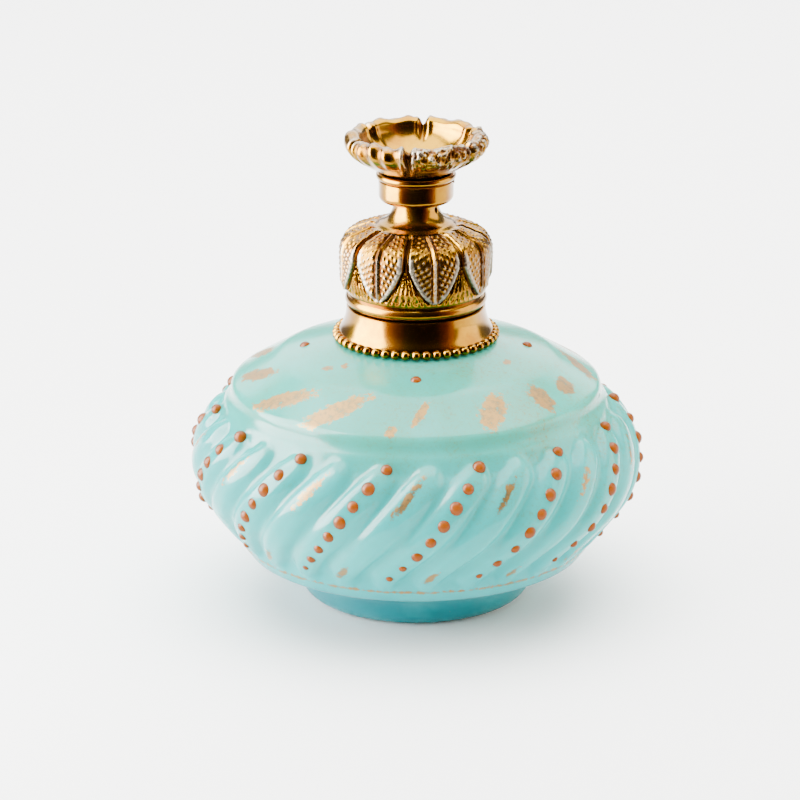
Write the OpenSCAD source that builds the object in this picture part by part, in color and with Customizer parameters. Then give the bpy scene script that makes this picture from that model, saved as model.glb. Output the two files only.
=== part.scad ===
// Perfume atomiser: squat ribbed glass bottle with a push-top finger pump.
// Origin at the middle of the foot's underside, +Z up, millimetres.

/* [Bottle] */
// Radius of the belly over the ribs
belly_r = 39.9; // [33:0.1:48]
// Radius of the belly's upright curve
belly_arc = 11.8; // [9.8:0.1:14.2]
// Lean of the lower taper from upright, degrees
taper_deg = 38; // [31.6:0.1:45.6]
// Height of the belly's widest point above the edge where the taper turns under
belly_up = 16.1; // [13.4:0.1:19.4]
// Height of that edge above the foot
edge_up = 3.1; // [2.5:0.1:3.8]
// Thickness of the glass
glass_wall = 3; // [2.5:0.1:3.6]
// Radius of the foot where it stands
foot_r = 18.2; // [15.1:0.1:21.9]
// Spread of the foot from where it stands to its top
foot_flare = 4.4; // [3.6:0.1:5.3]
// Height of the foot
foot_h = 6.2; // [5.1:0.1:7.5]
// Step in from the belly to the ledge above the ribs
ledge_in = 7.2; // [6:0.1:8.7]
// Rise of the ledge's upper edge over the top of the belly's curve
ledge_up = 2.4; // [2:0.1:2.9]
// Step in from the ledge to the soft ring on the shoulder
ring_in = 8.7; // [7.2:0.1:10.5]
// Rise of the soft ring above the ledge
ring_up = 4.5; // [3.7:0.1:5.4]
// Wall of the glass neck
neck_wall = 2; // [1.6:0.1:2.4]

/* [Ribs and enamel] */
// Number of ribs, every second one carries enamel dots
ribs = 28; // [22:2:34]
// Lean of the ribs from upright, degrees
rib_lean = 38; // [31:0.1:46]
// Turn of the first flute from +X, degrees
rib_turn = 12.6; // [0:0.1:18]
// Depth of the flutes between the ribs
flute_depth = 0.8; // [0.6:0.05:1]
// Radius of a flute's section
flute_r = 3; // [2.5:0.1:3.6]
// Dots in one row
row_dots = 8; // [6:1:10]
// Dots on the shoulder, round the collar
crown_dots = 4; // [3:1:12]
// Radius of the largest dot
dot_r = 1.1; // [0.9:0.02:1.34]

/* [Collar] */
// Radius of the collar's waist
waist_r = 12.2; // [10.1:0.1:14.7]
// Flare of the collar from its waist to the rim under the beads
rim_flare = 1.3; // [1:0.05:1.6]
// Height of the beads' centres above the soft ring
bead_up = 3.8; // [3.1:0.1:4.6]
// Beads round the rim
beads = 48; // [40:1:58]
// Radius of one bead
bead_r = 0.82; // [0.68:0.01:0.99]
// Height of the collar's shoulder above the beads' centres
collar_h = 5.3; // [4.4:0.1:6.4]
// Width of the shoulder that the dome comes down to
shoulder_w = 1.7; // [1.4:0.05:2.1]
// Height of the threaded spigot above the shoulder
spigot_h = 5; // [4.1:0.1:6]
// Wall of the collar
collar_wall = 0.8; // [0.65:0.01:0.97]
// Plaster between the collar and the glass neck
plaster_t = 1.4; // [1.15:0.05:1.7]

/* [Dome] */
// Height of the dome's wall above the parting line
dome_wall_h = 10; // [8.3:0.1:12]
// How far the dome's wall stands out from the collar's waist
dome_out = 0.7; // [0.55:0.01:0.85]
// Height of the leaves' relief
leaf_relief = 0.45; // [0.37:0.01:0.54]
// Number of leaves
leaves = 8; // [6:1:10]
// Radius of the rolled ring at the foot of the dome
roll_r = 1.1; // [0.9:0.01:1.32]
// Wall of the fixed neck
top_neck_wall = 1.25; // [1.04:0.01:1.5]
// Radius of the vent hole in the neck
vent_r = 0.33; // [0.27:0.01:0.4]

/* [Pump] */
// Radius of the pump's bore
bore_r = 2.6; // [2.16:0.01:3.12]
// Wall of the barrel
barrel_wall = 0.7; // [0.58:0.01:0.84]
// Thickness of the sealing washer
washer_t = 1; // [0.8:0.05:1.2]
// Thickness of the pump's flange
flange_t = 1.2; // [1:0.05:1.45]
// Length of the barrel's bore above the inlet valve
bore_len = 17; // [15.5:0.1:20.4]
// Radius of the stem
stem_r = 1.2; // [1:0.01:1.44]
// Radius of the passage through the stem
passage_r = 0.45; // [0.37:0.01:0.54]
// Travel of the button
stroke = 2.5; // [2:0.1:3]
// Radius of the inlet ball
inlet_ball_r = 1.2; // [1:0.01:1.44]
// Radius of the outlet ball
outlet_ball_r = 0.7; // [0.58:0.01:0.84]
// Turns of the return spring
spring_turns = 6; // [4:1:8]
// Radius of the spring's wire
wire_r = 0.22; // [0.18:0.01:0.27]
// Outer radius of the dip tube
tube_r = 1.3; // [1.08:0.01:1.56]
// Wall of the dip tube
tube_wall = 0.5; // [0.41:0.01:0.6]
// Gap between the dip tube and the bottle's floor
tube_gap = 1.2; // [1:0.1:3]

/* [Button] */
// Outer radius of the drum
drum_r = 6.55; // [5.45:0.05:7.9]
// Rise of the drum's lower edge over the dome's shoulder
drum_up = 8.8; // [8.4:0.1:10.6]
// Height of the drum
drum_h = 5.2; // [4.9:0.1:6.3]
// Wall of the drum
drum_wall = 0.65; // [0.54:0.01:0.78]
// Radius of the core
core_r = 2.4; // [2:0.01:2.88]
// Outer radius of the spray tube
spray_r = 0.55; // [0.45:0.01:0.66]
// Largest radius of the flower
flower_r = 12.5; // [10.4:0.1:15]
// Height of the flower above the drum
flower_h = 7.4; // [6.2:0.1:8.9]
// Petals round the flower
petals = 6; // [5:1:8]

/* [Fits] */
// Radial running clearance, screwed and sliding pairs
run_gap = 0.05; // [0.02:0.01:0.1]
// Gap between pieces that only pass each other
pass_gap = 0.15; // [0.1:0.01:0.3]

/* [Hidden] */
$fn = 64;

// Colours
aqua = "#8fd6d2";
orange = "#c96f22";
gilt = "#c9963f";
brass = "#b5954c";
steel = "#a8abae";

// Bottle, derived
edge_z = foot_h + edge_up;
belly_z = edge_z + belly_up;
foot_top_r = foot_r + foot_flare;
ledge_r = belly_r - ledge_in;
ledge_z = belly_z + belly_arc + ledge_up;
ring_r = ledge_r - ring_in;
ring_z = ledge_z + ring_up;
belly_c = belly_r - belly_arc;
taper_r = belly_c + belly_arc * cos(taper_deg);
taper_z = belly_z - belly_arc * sin(taper_deg);
edge_r = taper_r - (taper_z - edge_z) * tan(taper_deg);
edge_round = 1.2;
cove_r = 2.6;
ledge_round = 1.2;
bead_z = ring_z + bead_up;
seat_z = bead_z - bead_r - pass_gap;
neck_z = bead_z + 0.3;
floor_z = foot_h + 1.3;
inner_arc = belly_arc - glass_wall;
punt_r = foot_r - 4.2;
punt_h = 0.8;
flute_len = 84;
flute_path_r = 19;
dot_top_z = belly_z + 0.76 * belly_arc;
dot_foot_z = edge_z + 0.335 * belly_up;
dot_sink = 0.35;

// Collar, derived
rim_r = waist_r + rim_flare;
parting_z = bead_z + collar_h;
spigot_r = waist_r - shoulder_w;
collar_bore_r = waist_r - collar_wall;
neck_r = collar_bore_r - plaster_t;
mouth_r = neck_r - neck_wall;
lip_z = parting_z - 0.6;

// Flat part of the shoulder, from the soft ring in to the collar, and the dots' place on it
flat_out = [ring_r - 0.8, ring_z + 0.4];
flat_in = [rim_r + 1.3, seat_z - 0.2];
crown_share = 0.44;
crown_at = flat_out + crown_share * (flat_in - flat_out);

// Radius of the rib crests at height z
function crest(z) =
    z > taper_z ? belly_c + sqrt(belly_arc ^ 2 - (z - belly_z) ^ 2)
                : taper_r - (taper_z - z) * tan(taper_deg);

// Length of the upright section from the widest point to height z, negative below it
function along(z) =
    z > taper_z ? belly_arc * asin((z - belly_z) / belly_arc) * PI / 180
                : -belly_arc * taper_deg * PI / 180 - (taper_z - z) / cos(taper_deg);

// Angle round the bottle, in degrees, by which a leaning rib has turned at height z
function rib_drift(z) = tan(rib_lean) * along(z) / belly_r * 180 / PI;

// Points of an arc from angle a to angle b
function arc(x, y, r, a, b, steps = 6) =
    [for (i = [0:steps]) let (t = a + (b - a) * i / steps) [x + r * cos(t), y + r * sin(t)]];

// Dome, derived
shoulder_z = parting_z + dome_wall_h;
drum_z = shoulder_z + drum_up;
drum_top = drum_z + drum_h;
nozzle_z = drum_top - 1.2;
spigot_z = parting_z + spigot_h;
spigot_bore_r = mouth_r + 1.2;
dome_r = waist_r + dome_out;
dome_z = parting_z + pass_gap;
top_bore_r = core_r + 0.3;
top_neck_r = top_bore_r + top_neck_wall;
flange_z = spigot_z + washer_t;
flange_top = flange_z + flange_t;
roll_c = waist_r + 0.25 - roll_r;
thread_r = spigot_r + run_gap;
top_neck_z = nozzle_z - spray_r - stroke - 2 * pass_gap;
vent_z = drum_z - 1.2;
vent_deg = -30;
leaf_deg = -75.3;
leaf_half_w = 4.3;
leaf_tip_z = dome_z + 2 * roll_r + 1;

// Pump, derived
barrel_r = bore_r + barrel_wall;
boss_r = bore_r + 1.8;
boss_h = 2.6;
boss_top = flange_top + boss_h;
packing_t = 1.4;
packing_z = boss_top - packing_t;
nut_wall = 1;
nut_top = boss_top + nut_wall;
cage_z = boss_top - bore_len;
cage_t = 0.6;
inlet_seat_r = 0.8;
chamber_r = inlet_ball_r + pass_gap;
inlet_lift = 0.8;
inlet_z = cage_z - inlet_lift - inlet_ball_r - 0.12;
inlet_seat_z = inlet_z - 0.02 - sqrt(inlet_ball_r ^ 2 - inlet_seat_r ^ 2);
barrel_foot = inlet_seat_z - 1.5;
socket_depth = 3.5;
socket_z = barrel_foot - socket_depth;
socket_r = tube_r + 0.9;
tube_bore_r = tube_r - tube_wall;
tube_end_z = floor_z + tube_gap;
tube_slant = 25;

// Piston stack, from the top down
piston_top = packing_z - 0.1;
head_h = 3.4;
head_z = piston_top - head_h;
cup_h = 1.6;
cup_z = head_z - cup_h;
screw_head_h = 0.9;
spring_top = cup_z - screw_head_h;
spring_z = cage_z + cage_t;
piston_r = bore_r - run_gap;
cup_bore_r = piston_r - 0.45;
screw_shank_r = 1.15;
screw_head_r = cup_bore_r - 0.2;
valve_r = outlet_ball_r + pass_gap;
outlet_seat_r = 0.45;
outlet_lift = 0.5;
screw_top = head_z + 0.6;
outlet_z = screw_top + sqrt(outlet_ball_r ^ 2 - outlet_seat_r ^ 2) + 0.02;
valve_top = outlet_z + outlet_ball_r + outlet_lift + 0.1;
spring_r = bore_r - wire_r - pass_gap;

// Button, derived
drum_bore_r = drum_r - drum_wall;
core_z = drum_z + 1.3;
plate_t = 0.7;
plate_z = drum_top - plate_t;
stem_top = nozzle_z - spray_r - 0.25;
nozzle_r = spray_r + 0.35;
cup_floor = drum_top + 1.5;
rosette_t = 0.5;
stud_r = 0.8;
stud_z = nozzle_z + spray_r + 0.2;
stamen_ring_r = 4;
stamens = 12;
flower_top = drum_top + flower_h;

// Half-section of the bottle's outside, without the belly's curve
function bottle_outline() = concat(
    [[0, punt_h], [punt_r - 1, punt_h], [punt_r, 0], [foot_r, 0]],
    arc(foot_r, 3, 3, -80, 0, 5),
    [[foot_top_r, foot_h], [edge_r - 3, edge_z - 1.1]],
    arc(edge_r - edge_round, edge_z, edge_round, -80, -taper_deg, 4),
    [[taper_r, taper_z], [belly_c, belly_z], [belly_c + 1, belly_z + belly_arc - 1]],
    [[ledge_r, belly_z + belly_arc - 0.8]],
    arc(ledge_r - ledge_round, ledge_z - ledge_round, ledge_round, 0, 62, 4),
    [[ring_r + 0.7, ring_z - 0.3], [ring_r, ring_z], flat_out],
    [flat_in, [rim_r - 2.3, seat_z + 0.8], [neck_r, neck_z]],
    [[neck_r, lip_z - 0.5], [neck_r - 0.5, lip_z], [0, lip_z]]);

// Half-section of the room inside the bottle
function bottle_room() = [
    [0, floor_z], [foot_top_r - 1.5, floor_z], [edge_r - glass_wall - 0.8, edge_z + 1.6],
    [belly_c + inner_arc * cos(taper_deg), belly_z - inner_arc * sin(taper_deg)],
    [belly_c, belly_z], [belly_c, belly_z + inner_arc],
    [belly_c, ledge_z - 2.8], [ring_r - 0.4, ring_z - glass_wall],
    [rim_r, seat_z - glass_wall], [mouth_r, seat_z - 1.5], [mouth_r, lip_z + 1], [0, lip_z + 1]];

// Curve of the belly: inside or outside
module belly_curve(r) translate([belly_c, belly_z]) circle(r = r);

// Cutter for the flute at step k
module flute(k)
    rotate([0, 0, rib_turn + 360 / ribs * k])
        translate([belly_r - flute_depth + flute_r - flute_path_r, 0, belly_z])
            rotate([90 - rib_lean, 0, 0])
                rotate([0, 0, -flute_len / 2])
                    rotate_extrude(angle = flute_len)
                        translate([flute_path_r, 0]) circle(r = flute_r);

module glass_bottle() color(aqua) difference() {
    rotate_extrude() difference() {
        union() {
            polygon(bottle_outline());
            belly_curve(belly_arc);
        }
        translate([ledge_r + cove_r, belly_z + belly_arc - 0.2]) circle(r = cove_r);
    }
    rotate_extrude() {
        polygon(bottle_room());
        belly_curve(inner_arc);
    }
    for (k = [0:ribs - 1]) flute(k);
}

// Dots lie along every second rib, largest in the middle of a row, and round the shoulder
module enamel_dots() color(orange) {
    for (k = [0:crown_dots - 1])
        rotate([0, 0, 360 / crown_dots * k - 90])
            translate([crown_at[0], 0, crown_at[1] - dot_sink * dot_r]) sphere(r = dot_r);
    for (k = [0:2:ribs - 1])
        for (i = [0:row_dots - 1])
            let (t = i / (row_dots - 1), z = dot_top_z + (dot_foot_z - dot_top_z) * t,
                 turn = rib_turn + 360 / ribs * (k + 0.5) + rib_drift(z),
                 r = dot_r * (0.4 + 0.6 * sin(54 + 112 * t)))
                rotate([0, 0, turn]) translate([crest(z) - dot_sink * r, 0, z]) sphere(r = r);
}

module neck_plaster() color("#d8d2c4") rotate_extrude()
    polygon([[neck_r, neck_z + 0.4], [collar_bore_r, neck_z + 0.4], [collar_bore_r, lip_z],
             [neck_r - 0.5, lip_z], [neck_r, lip_z - 0.5]]);

module neck_collar() color(gilt) rotate_extrude()
    polygon(concat(
        [[collar_bore_r, seat_z + 1.2], [rim_r - 0.9, seat_z + 0.45], [rim_r, seat_z + 0.35],
         [rim_r, bead_z + 0.8]],
        arc(waist_r + 2, parting_z - 0.6, 2, 240, 180, 5),
        [[waist_r, parting_z], [spigot_r, parting_z], [spigot_r, spigot_z],
         [spigot_bore_r, spigot_z], [spigot_bore_r, lip_z], [collar_bore_r, lip_z]]));

module bead_wire() color(gilt) {
    bead_path_r = rim_r + 0.45;
    for (i = [0:beads - 1])
        rotate([0, 0, 360 / beads * i]) translate([bead_path_r, 0, bead_z]) sphere(r = bead_r);
    rotate_extrude() translate([bead_path_r, bead_z]) circle(r = bead_r / 2);
}

module sealing_washer() color("#9a7448") translate([0, 0, spigot_z]) difference() {
    cylinder(r = spigot_r - 0.3, h = washer_t);
    translate([0, 0, -1]) cylinder(r = mouth_r - 1, h = washer_t + 2);
}

module pump_barrel() color(brass) difference() {
    union() {
        translate([0, 0, barrel_foot]) cylinder(r = barrel_r, h = boss_top - barrel_foot);
        translate([0, 0, flange_z]) cylinder(r = spigot_r - 0.3, h = flange_t);
        translate([0, 0, flange_z]) cylinder(r = boss_r, h = boss_top - flange_z);
        translate([0, 0, socket_z]) cylinder(r = socket_r, h = socket_depth + 0.1);
    }
    translate([0, 0, cage_z]) cylinder(r = bore_r, h = bore_len + 1);
    translate([0, 0, inlet_seat_z]) cylinder(r = chamber_r, h = cage_z - inlet_seat_z + 0.1);
    translate([0, 0, socket_z]) cylinder(r = inlet_seat_r, h = inlet_seat_z - socket_z + 0.1);
    translate([0, 0, socket_z - 1]) cylinder(r = tube_r, h = socket_depth + 1);
}

module inlet_cage() color(brass) translate([0, 0, cage_z]) difference() {
    cylinder(r = bore_r, h = cage_t);
    for (a = [0:120:240]) rotate([0, 0, a]) translate([0.75, 0, -1]) cylinder(r = 0.42, h = cage_t + 2);
}

module inlet_ball() color(steel) translate([0, 0, inlet_z]) sphere(r = inlet_ball_r);

// The lower end is cut at a slant, so that it can't seal against the floor
module dip_tube() color("#d9e6e6") difference() {
    translate([0, 0, tube_end_z]) cylinder(r = tube_r, h = barrel_foot - tube_end_z);
    translate([0, 0, tube_end_z - 1]) cylinder(r = tube_bore_r, h = barrel_foot - tube_end_z + 2);
    translate([tube_r, 0, tube_end_z]) rotate([0, tube_slant, 0])
        translate([-4 * tube_r, -2 * tube_r, -4 * tube_r]) cube(4 * tube_r);
}

module gland_packing() color("#4a4038") translate([0, 0, packing_z]) difference() {
    cylinder(r = bore_r, h = packing_t);
    translate([0, 0, -1]) cylinder(r = stem_r + run_gap, h = packing_t + 2);
}

module gland_nut() color(brass) difference() {
    translate([0, 0, flange_top + 0.3]) cylinder(r = boss_r + nut_wall, h = nut_top - flange_top - 0.3);
    translate([0, 0, flange_top]) cylinder(r = boss_r, h = boss_h);
    cylinder(r = stem_r + run_gap, h = nut_top + 1);
}

// Half-section of the dome's outside, grown by out
function dome_outline(out = 0) = concat(
    [[0, dome_z], [roll_c, dome_z]],
    arc(roll_c, dome_z + roll_r, roll_r, -75, 60, 8),
    [[dome_r - 0.5 + out, dome_z + 2 * roll_r + 0.6], [dome_r + out, dome_z + 5]],
    arc(dome_r - 3.2, shoulder_z, 3.2 + out, 0, 60, 5),
    [[top_neck_r + 2.9, shoulder_z + 4.3 + out]],
    arc(top_neck_r + 3, shoulder_z + 7.4, 3, 245, 183, 5),
    [[top_neck_r, shoulder_z + 7.8], [top_neck_r, top_neck_z], [0, top_neck_z]]);

// One pointed leaf, seen square on: tip down, tapering up to the neck
module leaf_shape() polygon([
    [0, leaf_tip_z], [leaf_half_w * 0.6, leaf_tip_z + 2.4], [leaf_half_w, shoulder_z - 2],
    [leaf_half_w * 0.8, shoulder_z + 1.5], [1.1, shoulder_z + 4.6], [-1.1, shoulder_z + 4.6],
    [-leaf_half_w * 0.8, shoulder_z + 1.5], [-leaf_half_w, shoulder_z - 2],
    [-leaf_half_w * 0.6, leaf_tip_z + 2.4]]);

module leaf_dome() color(gilt) difference() {
    union() {
        rotate_extrude() polygon(dome_outline());
        intersection() {
            rotate_extrude() polygon(dome_outline(leaf_relief));
            for (k = [0:leaves - 1])
                rotate([0, 0, leaf_deg + 360 / leaves * k]) rotate([90, 0, 90])
                    translate([0, 0, 4]) linear_extrude(12) leaf_shape();
        }
    }
    translate([0, 0, dome_z - 1]) cylinder(r = thread_r, h = flange_top + run_gap - dome_z + 1);
    translate([0, 0, flange_top]) cylinder(r = spigot_r - 1.9, h = nut_top - flange_top + 0.3);
    cylinder(r = top_bore_r, h = top_neck_z + 1);
    translate([0, 0, vent_z]) rotate([0, 90, vent_deg]) cylinder(r = vent_r, h = 2 * top_neck_r);
}

module pump_stem() color(steel) difference() {
    translate([0, 0, valve_top]) cylinder(r = stem_r, h = stem_top - valve_top);
    cylinder(r = passage_r, h = stem_top + 1);
}

module piston_head() color(brass) difference() {
    translate([0, 0, head_z]) cylinder(r = piston_r, h = head_h);
    translate([0, 0, valve_top]) cylinder(r = stem_r, h = head_h);
    translate([0, 0, screw_top]) cylinder(r = valve_r, h = valve_top - screw_top + 0.1);
    translate([0, 0, head_z - 1]) cylinder(r = screw_shank_r, h = screw_top - head_z + 1);
}

module piston_cup() color("#5b3d26") translate([0, 0, cup_z]) difference() {
    cylinder(r = piston_r, h = cup_h);
    translate([0, 0, -0.1]) cylinder(r = cup_bore_r, h = cup_h - 0.5);
    cylinder(r = screw_shank_r, h = cup_h + 1);
}

module piston_screw() color(brass) difference() {
    union() {
        translate([0, 0, cup_z + cup_h - 0.6 - screw_head_h]) cylinder(r = screw_head_r, h = screw_head_h);
        translate([0, 0, cup_z]) cylinder(r = screw_shank_r, h = screw_top - cup_z);
        translate([0, 0, spring_top]) cylinder(r = screw_head_r - 0.3, h = cup_h);
    }
    translate([0, 0, spring_top - 1]) cylinder(r = outlet_seat_r, h = screw_top - spring_top + 2);
}

module outlet_ball() color(steel) translate([0, 0, outlet_z]) sphere(r = outlet_ball_r);

// Closed tube of eight sides swept along the coil
module return_spring() color(steel) {
    sides = 8;
    rings = 16 * spring_turns;
    rise = spring_top - spring_z - 2 * wire_r;
    points = [for (i = [0:rings]) let (a = 360 * spring_turns * i / rings)
        for (j = [0:sides - 1]) let (b = 360 / sides * j, r = spring_r + wire_r * cos(b))
            [r * cos(a), r * sin(a), spring_z + wire_r + rise * i / rings + wire_r * sin(b)]];
    walls = [for (i = [0:rings - 1]) for (j = [0:sides - 1]) let (n = (j + 1) % sides)
        [i * sides + j, i * sides + n, (i + 1) * sides + n, (i + 1) * sides + j]];
    ends = [[for (j = [sides - 1:-1:0]) j], [for (j = [0:sides - 1]) rings * sides + j]];
    polyhedron(points, concat(walls, ends), convexity = 10);
}

module button_core() color(brass) difference() {
    translate([0, 0, core_z]) cylinder(r = core_r, h = plate_z - core_z);
    translate([0, 0, core_z - 1]) cylinder(r = stem_r + run_gap, h = stem_top - core_z + 1 + pass_gap);
    translate([0, 0, core_z]) cylinder(r = passage_r, h = nozzle_z - core_z);
    translate([0, 0, nozzle_z]) rotate([0, 90, 0]) cylinder(r = spray_r, h = core_r + 1);
    translate([0, 0, stud_z]) cylinder(r = stud_r, h = drum_h);
}

module spray_tube() color(brass) translate([0, 0, nozzle_z]) rotate([0, 90, 0]) difference() {
    translate([0, 0, 0.6]) cylinder(r = spray_r, h = drum_bore_r - 0.6);
    cylinder(r = spray_r / 2, h = drum_r + 1);
}

module spray_nozzle() color(steel) translate([0, 0, nozzle_z]) rotate([0, 90, 0]) difference() {
    translate([0, 0, drum_bore_r]) cylinder(r = nozzle_r, h = drum_wall + 0.15);
    cylinder(r = spray_r / 3, h = drum_r + 2);
    translate([0, 0, drum_r - 0.1]) cylinder(r1 = spray_r / 3, r2 = spray_r, h = 0.3);
}

module drum_shell() color(gilt) difference() {
    rotate_extrude() difference() {
        polygon(concat(
            [[0, drum_z]], arc(drum_r - 1.1, drum_z + 1.1, 1.1, -85, 0, 4),
            [[drum_r, drum_top - 1.45], [drum_r - 0.2, drum_top - 1.3]],
            arc(drum_r - 0.15, drum_top - 0.6, 0.6, -90, 90, 6), [[0, drum_top]]));
        polygon([[0, drum_z - 1], [drum_bore_r - 0.45, drum_z - 1], [drum_bore_r - 0.45, drum_z + 0.35],
                 [drum_bore_r, drum_z + 0.9], [drum_bore_r, plate_z], [0, plate_z]]);
    }
    translate([0, 0, plate_z - 1]) cylinder(r = stud_r, h = 3);
    translate([0, 0, nozzle_z]) rotate([0, 90, 0]) cylinder(r = nozzle_r, h = drum_r + 1);
}

// Half-section of the flower: out and up the back of the petals, over the lip, down the bowl
function flower_outline() = let (r = flower_r, z = drum_top, h = flower_h) concat(
    [[0, z], [drum_r - 1, z], [drum_r + 0.6, z + 0.6], [r * 0.72, z + 1.8], [r * 0.88, z + 2.8]],
    arc(r - 1.9, z + h - 2.2, 1.9, -40, 90, 7),
    [[r - 2.3, z + h - 0.9], [r - 2.9, z + h - 2], [r - 4.4, z + h - 3.9],
     [stamen_ring_r + 1.6, cup_floor], [0, cup_floor]]);

module flower_cup() color(gilt) difference() {
    rotate_extrude() polygon(flower_outline());
    for (k = [0:petals - 1])
        rotate([0, 0, 360 / petals * (k + 0.5) - 5]) translate([flower_r + 0.5, 0, drum_top + 2])
            rotate([0, -12, 0]) cylinder(r = 0.9, h = flower_h);
    translate([0, 0, drum_top - 1]) cylinder(r = stud_r, h = 4);
}

module stamen_rosette() color(gilt) translate([0, 0, cup_floor]) difference() {
    union() {
        cylinder(r = stamen_ring_r + 0.8, h = rosette_t);
        for (i = [0:stamens - 1])
            rotate([0, 0, 360 / stamens * i]) translate([stamen_ring_r, 0, rosette_t]) sphere(r = 0.7);
    }
    translate([0, 0, -1]) cylinder(r = stud_r, h = 3);
    translate([-9, -9, -9]) cube([18, 18, 9]);
}

module flower_screw() color(brass) difference() {
    union() {
        translate([0, 0, stud_z]) cylinder(r = stud_r, h = cup_floor + rosette_t - stud_z);
        translate([0, 0, cup_floor + rosette_t]) cylinder(r1 = 1.9, r2 = 1.3, h = 0.8);
    }
    translate([-3, -0.2, cup_floor + rosette_t + 0.35]) cube([6, 0.4, 1]);
}

glass_bottle();
enamel_dots();
neck_plaster();
neck_collar();
bead_wire();
sealing_washer();
pump_barrel();
inlet_cage();
inlet_ball();
dip_tube();
gland_packing();
gland_nut();
leaf_dome();
pump_stem();
piston_head();
piston_cup();
piston_screw();
outlet_ball();
return_spring();
button_core();
spray_tube();
spray_nozzle();
drum_shell();
flower_cup();
stamen_rosette();
flower_screw();
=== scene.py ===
"""Looks of the perfume atomiser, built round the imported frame.

Lengths are millimetres, angles are degrees and +Z is up, as in the part's own source. Meshes are turned to
metres only when they are made.
"""

import logging
import math
from dataclasses import dataclass
from enum import Enum
from functools import partial
from typing import Any, Callable, Optional, Sequence

import bmesh
import bpy
import numpy as np
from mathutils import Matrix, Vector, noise


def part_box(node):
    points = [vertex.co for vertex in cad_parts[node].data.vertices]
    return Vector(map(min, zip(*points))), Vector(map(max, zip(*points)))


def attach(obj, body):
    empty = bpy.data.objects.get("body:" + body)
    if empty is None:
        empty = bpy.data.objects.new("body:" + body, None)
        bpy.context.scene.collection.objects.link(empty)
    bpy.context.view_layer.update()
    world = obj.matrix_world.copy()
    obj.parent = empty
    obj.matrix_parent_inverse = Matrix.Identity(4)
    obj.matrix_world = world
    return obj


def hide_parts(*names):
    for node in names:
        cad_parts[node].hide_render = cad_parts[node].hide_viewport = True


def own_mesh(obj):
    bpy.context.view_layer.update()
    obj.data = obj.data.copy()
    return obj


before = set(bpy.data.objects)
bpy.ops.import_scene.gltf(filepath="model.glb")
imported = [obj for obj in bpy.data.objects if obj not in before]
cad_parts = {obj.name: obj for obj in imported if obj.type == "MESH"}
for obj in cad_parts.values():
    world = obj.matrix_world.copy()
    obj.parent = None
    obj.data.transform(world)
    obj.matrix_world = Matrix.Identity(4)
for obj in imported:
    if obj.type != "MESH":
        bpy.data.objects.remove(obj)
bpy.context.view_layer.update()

LOG = logging.getLogger("atomiser")
MM = 0.001

Point = tuple[float, float]
Adder = Callable[..., bpy.types.Node]

# How Blender begins the type names of a tree's nodes
PREFIX = {"ShaderNodeTree": "ShaderNode", "GeometryNodeTree": "GeometryNode"}


# ---------------------------------------------------------------- profiles

def arc(centre: Point, radius: float, start: float, end: float, steps: int = 8) -> list[Point]:
    """Lay points along an arc.

    Args:
        centre: Middle of the arc.
        radius: Radius of the arc.
        start: First angle in degrees.
        end: Last angle in degrees.
        steps: Number of straight pieces.

    Returns:
        The points in order, both ends included.
    """
    turns = np.radians(np.linspace(start, end, steps + 1))
    return [(centre[0] + radius * math.cos(t), centre[1] + radius * math.sin(t)) for t in turns]


def soften(points: Sequence[Point], rounds: int = 2) -> list[Point]:
    """Cut the corners of an open line, as a mould or a polish rounds them.

    Args:
        points: Corners of the line.
        rounds: How many times each corner is cut.

    Returns:
        The softened line, with the same ends.
    """
    line = [tuple(p) for p in points]
    for _ in range(rounds):
        cut = [line[0]]
        for (x0, y0), (x1, y1) in zip(line[:-1], line[1:]):
            cut.append((0.75 * x0 + 0.25 * x1, 0.75 * y0 + 0.25 * y1))
            cut.append((0.25 * x0 + 0.75 * x1, 0.25 * y0 + 0.75 * y1))
        line = cut + [line[-1]]
    return line


def resample(points: Sequence[Point], step: float) -> np.ndarray:
    """Space points evenly along a line.

    Args:
        points: The line.
        step: Wanted spacing.

    Returns:
        Points of shape (n, 2), both ends included.
    """
    line = np.array(points, dtype=float)
    lengths = np.hypot(*np.diff(line, axis=0).T)
    run = np.concatenate([[0.0], np.cumsum(lengths)])
    count = max(2, int(round(run[-1] / step)) + 1)
    marks = np.linspace(0.0, run[-1], count)
    return np.column_stack([np.interp(marks, run, line[:, 0]), np.interp(marks, run, line[:, 1])])


def outward(path: np.ndarray) -> np.ndarray:
    """Return the unit normals on the right-hand side of a path that climbs the outside of a turned piece."""
    slope = np.gradient(path, axis=0)
    normal = np.column_stack([slope[:, 1], -slope[:, 0]])
    return normal / np.maximum(np.linalg.norm(normal, axis=1, keepdims=True), 1e-9)


def ease(value: np.ndarray, low: float, high: float) -> np.ndarray:
    """Return 0 below low and 1 above high, with a smooth step between them."""
    t = np.clip((value - low) / (high - low), 0.0, 1.0)
    return t * t * (3.0 - 2.0 * t)


def mottle(x: np.ndarray, y: np.ndarray, z: np.ndarray, size: float) -> np.ndarray:
    """Return an uneven field from about -1 to 1 whose lumps are one size across."""
    lump = np.vectorize(lambda a, b, c: noise.turbulence((a / size, b / size, c / size), 3, False))
    return lump(x, y, z + np.zeros_like(x)) * 1.4


# ---------------------------------------------------------------- meshes

def place(name: str, mesh: bpy.types.Mesh, material: Optional[bpy.types.Material]) -> bpy.types.Object:
    """Put a mesh in the scene as an object at the origin.

    Args:
        name: Name of the piece.
        mesh: Its mesh, in metres and in place.
        material: Its finish, or None where the mesh already has one.

    Returns:
        The new object.
    """
    piece = bpy.data.objects.new(name, mesh)
    bpy.context.scene.collection.objects.link(piece)
    if material is not None:
        mesh.materials.clear()
        mesh.materials.append(material)
    return piece


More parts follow.
